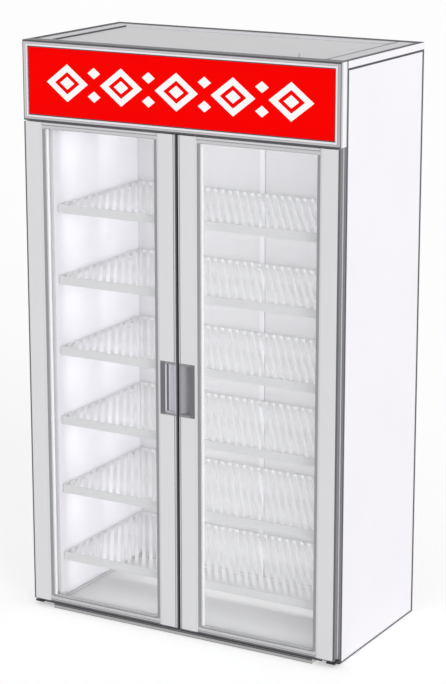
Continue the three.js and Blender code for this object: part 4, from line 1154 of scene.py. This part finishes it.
# %% Ticks of the dial
TICKS = 11
TICK_SIZE = (0.0009, 0.0002, 0.0034)
TICK_RADIUS = 0.0235
DIAL_TURN = math.radians(300)

dial_joint = next(joint for joint in frame["joints"] if joint["name"] == "thermostat_turn")
dial_face = Vector(dial_joint["pos_m"])
ticks = bmesh.new()
for index in range(TICKS):
    turn = Matrix.Rotation(DIAL_TURN * (index / (TICKS - 1) - 0.5), 3, "Y")
    tick = bmesh.ops.create_cube(ticks, size=1)["verts"]
    bmesh.ops.scale(ticks, verts=tick, vec=TICK_SIZE)
    bmesh.ops.translate(ticks, verts=tick, vec=(0, TICK_SIZE[Y] / 2, TICK_RADIUS))
    bmesh.ops.rotate(ticks, verts=tick, cent=(0, 0, 0), matrix=turn)
    bmesh.ops.translate(ticks, verts=tick, vec=dial_face)
add_piece("dial_ticks", ticks, body_of("control_tray"), black_plastic)

# %% [markdown]
# Plain soft studio light: an even pale world, and one broad sun low on the right. The side
# that faces it comes out brightest, the front next and the top last, which is the order of
# the greys in the photograph.

# %% Sun
SUN_FROM = (8.2, -5.6, 0.6)
SUN_LEVEL = 2.4
SUN_SPREAD = math.radians(30)


def add_light(name, kind, place, towards, **settings):
    lamp = bpy.data.lights.new(name, kind)
    for key, value in settings.items():
        setattr(lamp, key, value)
    holder = bpy.data.objects.new(name, lamp)
    bpy.context.scene.collection.objects.link(holder)
    holder.location = place
    holder.rotation_euler = (Vector(towards) - Vector(place)).to_track_quat("-Z", "Y").to_euler()
    return holder


add_light("sun", "SUN", SUN_FROM, (0, 0, 0), energy=SUN_LEVEL, angle=SUN_SPREAD)

# %% [markdown]
# In a bright shop the daylight comes through the glass and fills the cabin to its back. The
# six shelves would need very many bounces of light for that, so each bay gets two soft panels
# instead, at its front and half way in. They face the back wall and aren't seen themselves.
# Each starts a third of the way up, or the slats right under it would burn out. One more, much
# weaker, is as high as the doors and stands before the shelves, so that their lips get light.

# %% Daylight in each bay
BAY_LIGHTS = (1.45, 1.0)
FLOOR_BAY_LIGHTS = (2.0, 2.4)
BAY_DEPTHS = (0.081, 0.32)
BAY_WIDTH = 0.94
PANEL_RAISE_SHARE = 0.35
DOOR_LIGHT = 0.46
DOOR_DEPTH = 0.040
DOOR_WIDTH = 1.06


def soft_panel(name, depth, bottom, top, level, width=BAY_WIDTH):
    """A lamp that faces the back wall. Level is its own brightness."""
    middle = (bottom + top) / 2
    tall = top - bottom
    panel = add_light(name, "AREA", (0, cad_box[0][1] + depth, middle), (0, 1, middle),
                      shape="RECTANGLE", size=width, size_y=tall,
                      energy=level * math.pi * width * tall)
    panel.visible_camera = False
    panel.visible_glossy = False
    panel.visible_transmission = False


floors = [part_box("floor_tray")[1].z] + [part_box(node)[1].z for node in SHELVES]
ceilings = [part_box(node)[0].z for node in SHELVES] + [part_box("ceiling_panel")[0].z]
for index, (bottom, top) in enumerate(zip(floors, ceilings)):
    foot = bottom + (top - bottom) * PANEL_RAISE_SHARE
    level, rear_level = BAY_LIGHTS if index else FLOOR_BAY_LIGHTS
    soft_panel(f"bay_{index + 1}", BAY_DEPTHS[0], foot, top, level)
    soft_panel(f"rear_bay_{index + 1}", BAY_DEPTHS[1], foot, top, rear_level)
soft_panel("doorway", DOOR_DEPTH, floors[0], ceilings[-1], DOOR_LIGHT, DOOR_WIDTH)
print("bays lit:", len(floors))

# %% [markdown]
# The case stands before plain white. The world is white only to rays that the camera sees, and
# dimmer as a light. A glow for those same rays lifts the floor, which keeps the case's shadow.

# %% World
WORLD_LEVEL = 0.55
BLACK = (0, 0, 0)
WHITE = (255, 255, 255)

world = bpy.data.worlds.new("room")
world.use_nodes = True
bpy.context.scene.world = world
room = Network(world.node_tree)
levels = {"Value": room.seen(), "To Min": WORLD_LEVEL, "To Max": 1}
brightness = room.node("ShaderNodeMapRange", None, levels)
background = world.node_tree.nodes["Background"]
background.inputs["Color"].default_value = paint_mix(*WHITE)
room.feed(background.inputs["Strength"], brightness)

# %% Floor
FLOOR_HALF_WIDTH = 60
FLOOR_DROP = 0.0004
FLOOR_GLOW = 0.42

floor_finish = Finish("floor_finish", Roughness=0.9, Specular_IOR_Level=0.0,
                      Emission_Strength=FLOOR_GLOW)
floor_skin = floor_finish.blend(floor_finish.cloud(2, 2), (244, 244, 244), (246, 246, 246))
floor_finish.set(
    Base_Color=floor_skin,
    Emission_Color=floor_finish.blend(floor_finish.seen(), BLACK, WHITE))
bm = bmesh.new()
bmesh.ops.create_grid(bm, x_segments=1, y_segments=1, size=FLOOR_HALF_WIDTH)
bmesh.ops.translate(bm, verts=bm.verts, vec=(0, 0, -FLOOR_DROP))
floor_mesh = bpy.data.meshes.new("floor")
bm.to_mesh(floor_mesh)
bm.free()
floor_mesh.materials.append(floor_finish.material)
floor = bpy.data.objects.new("floor", floor_mesh)
bpy.context.scene.collection.objects.link(floor)

# %% [markdown]
# The Standard view shows each colour about as it was chosen.

bpy.context.scene.view_settings.view_transform = "Standard"
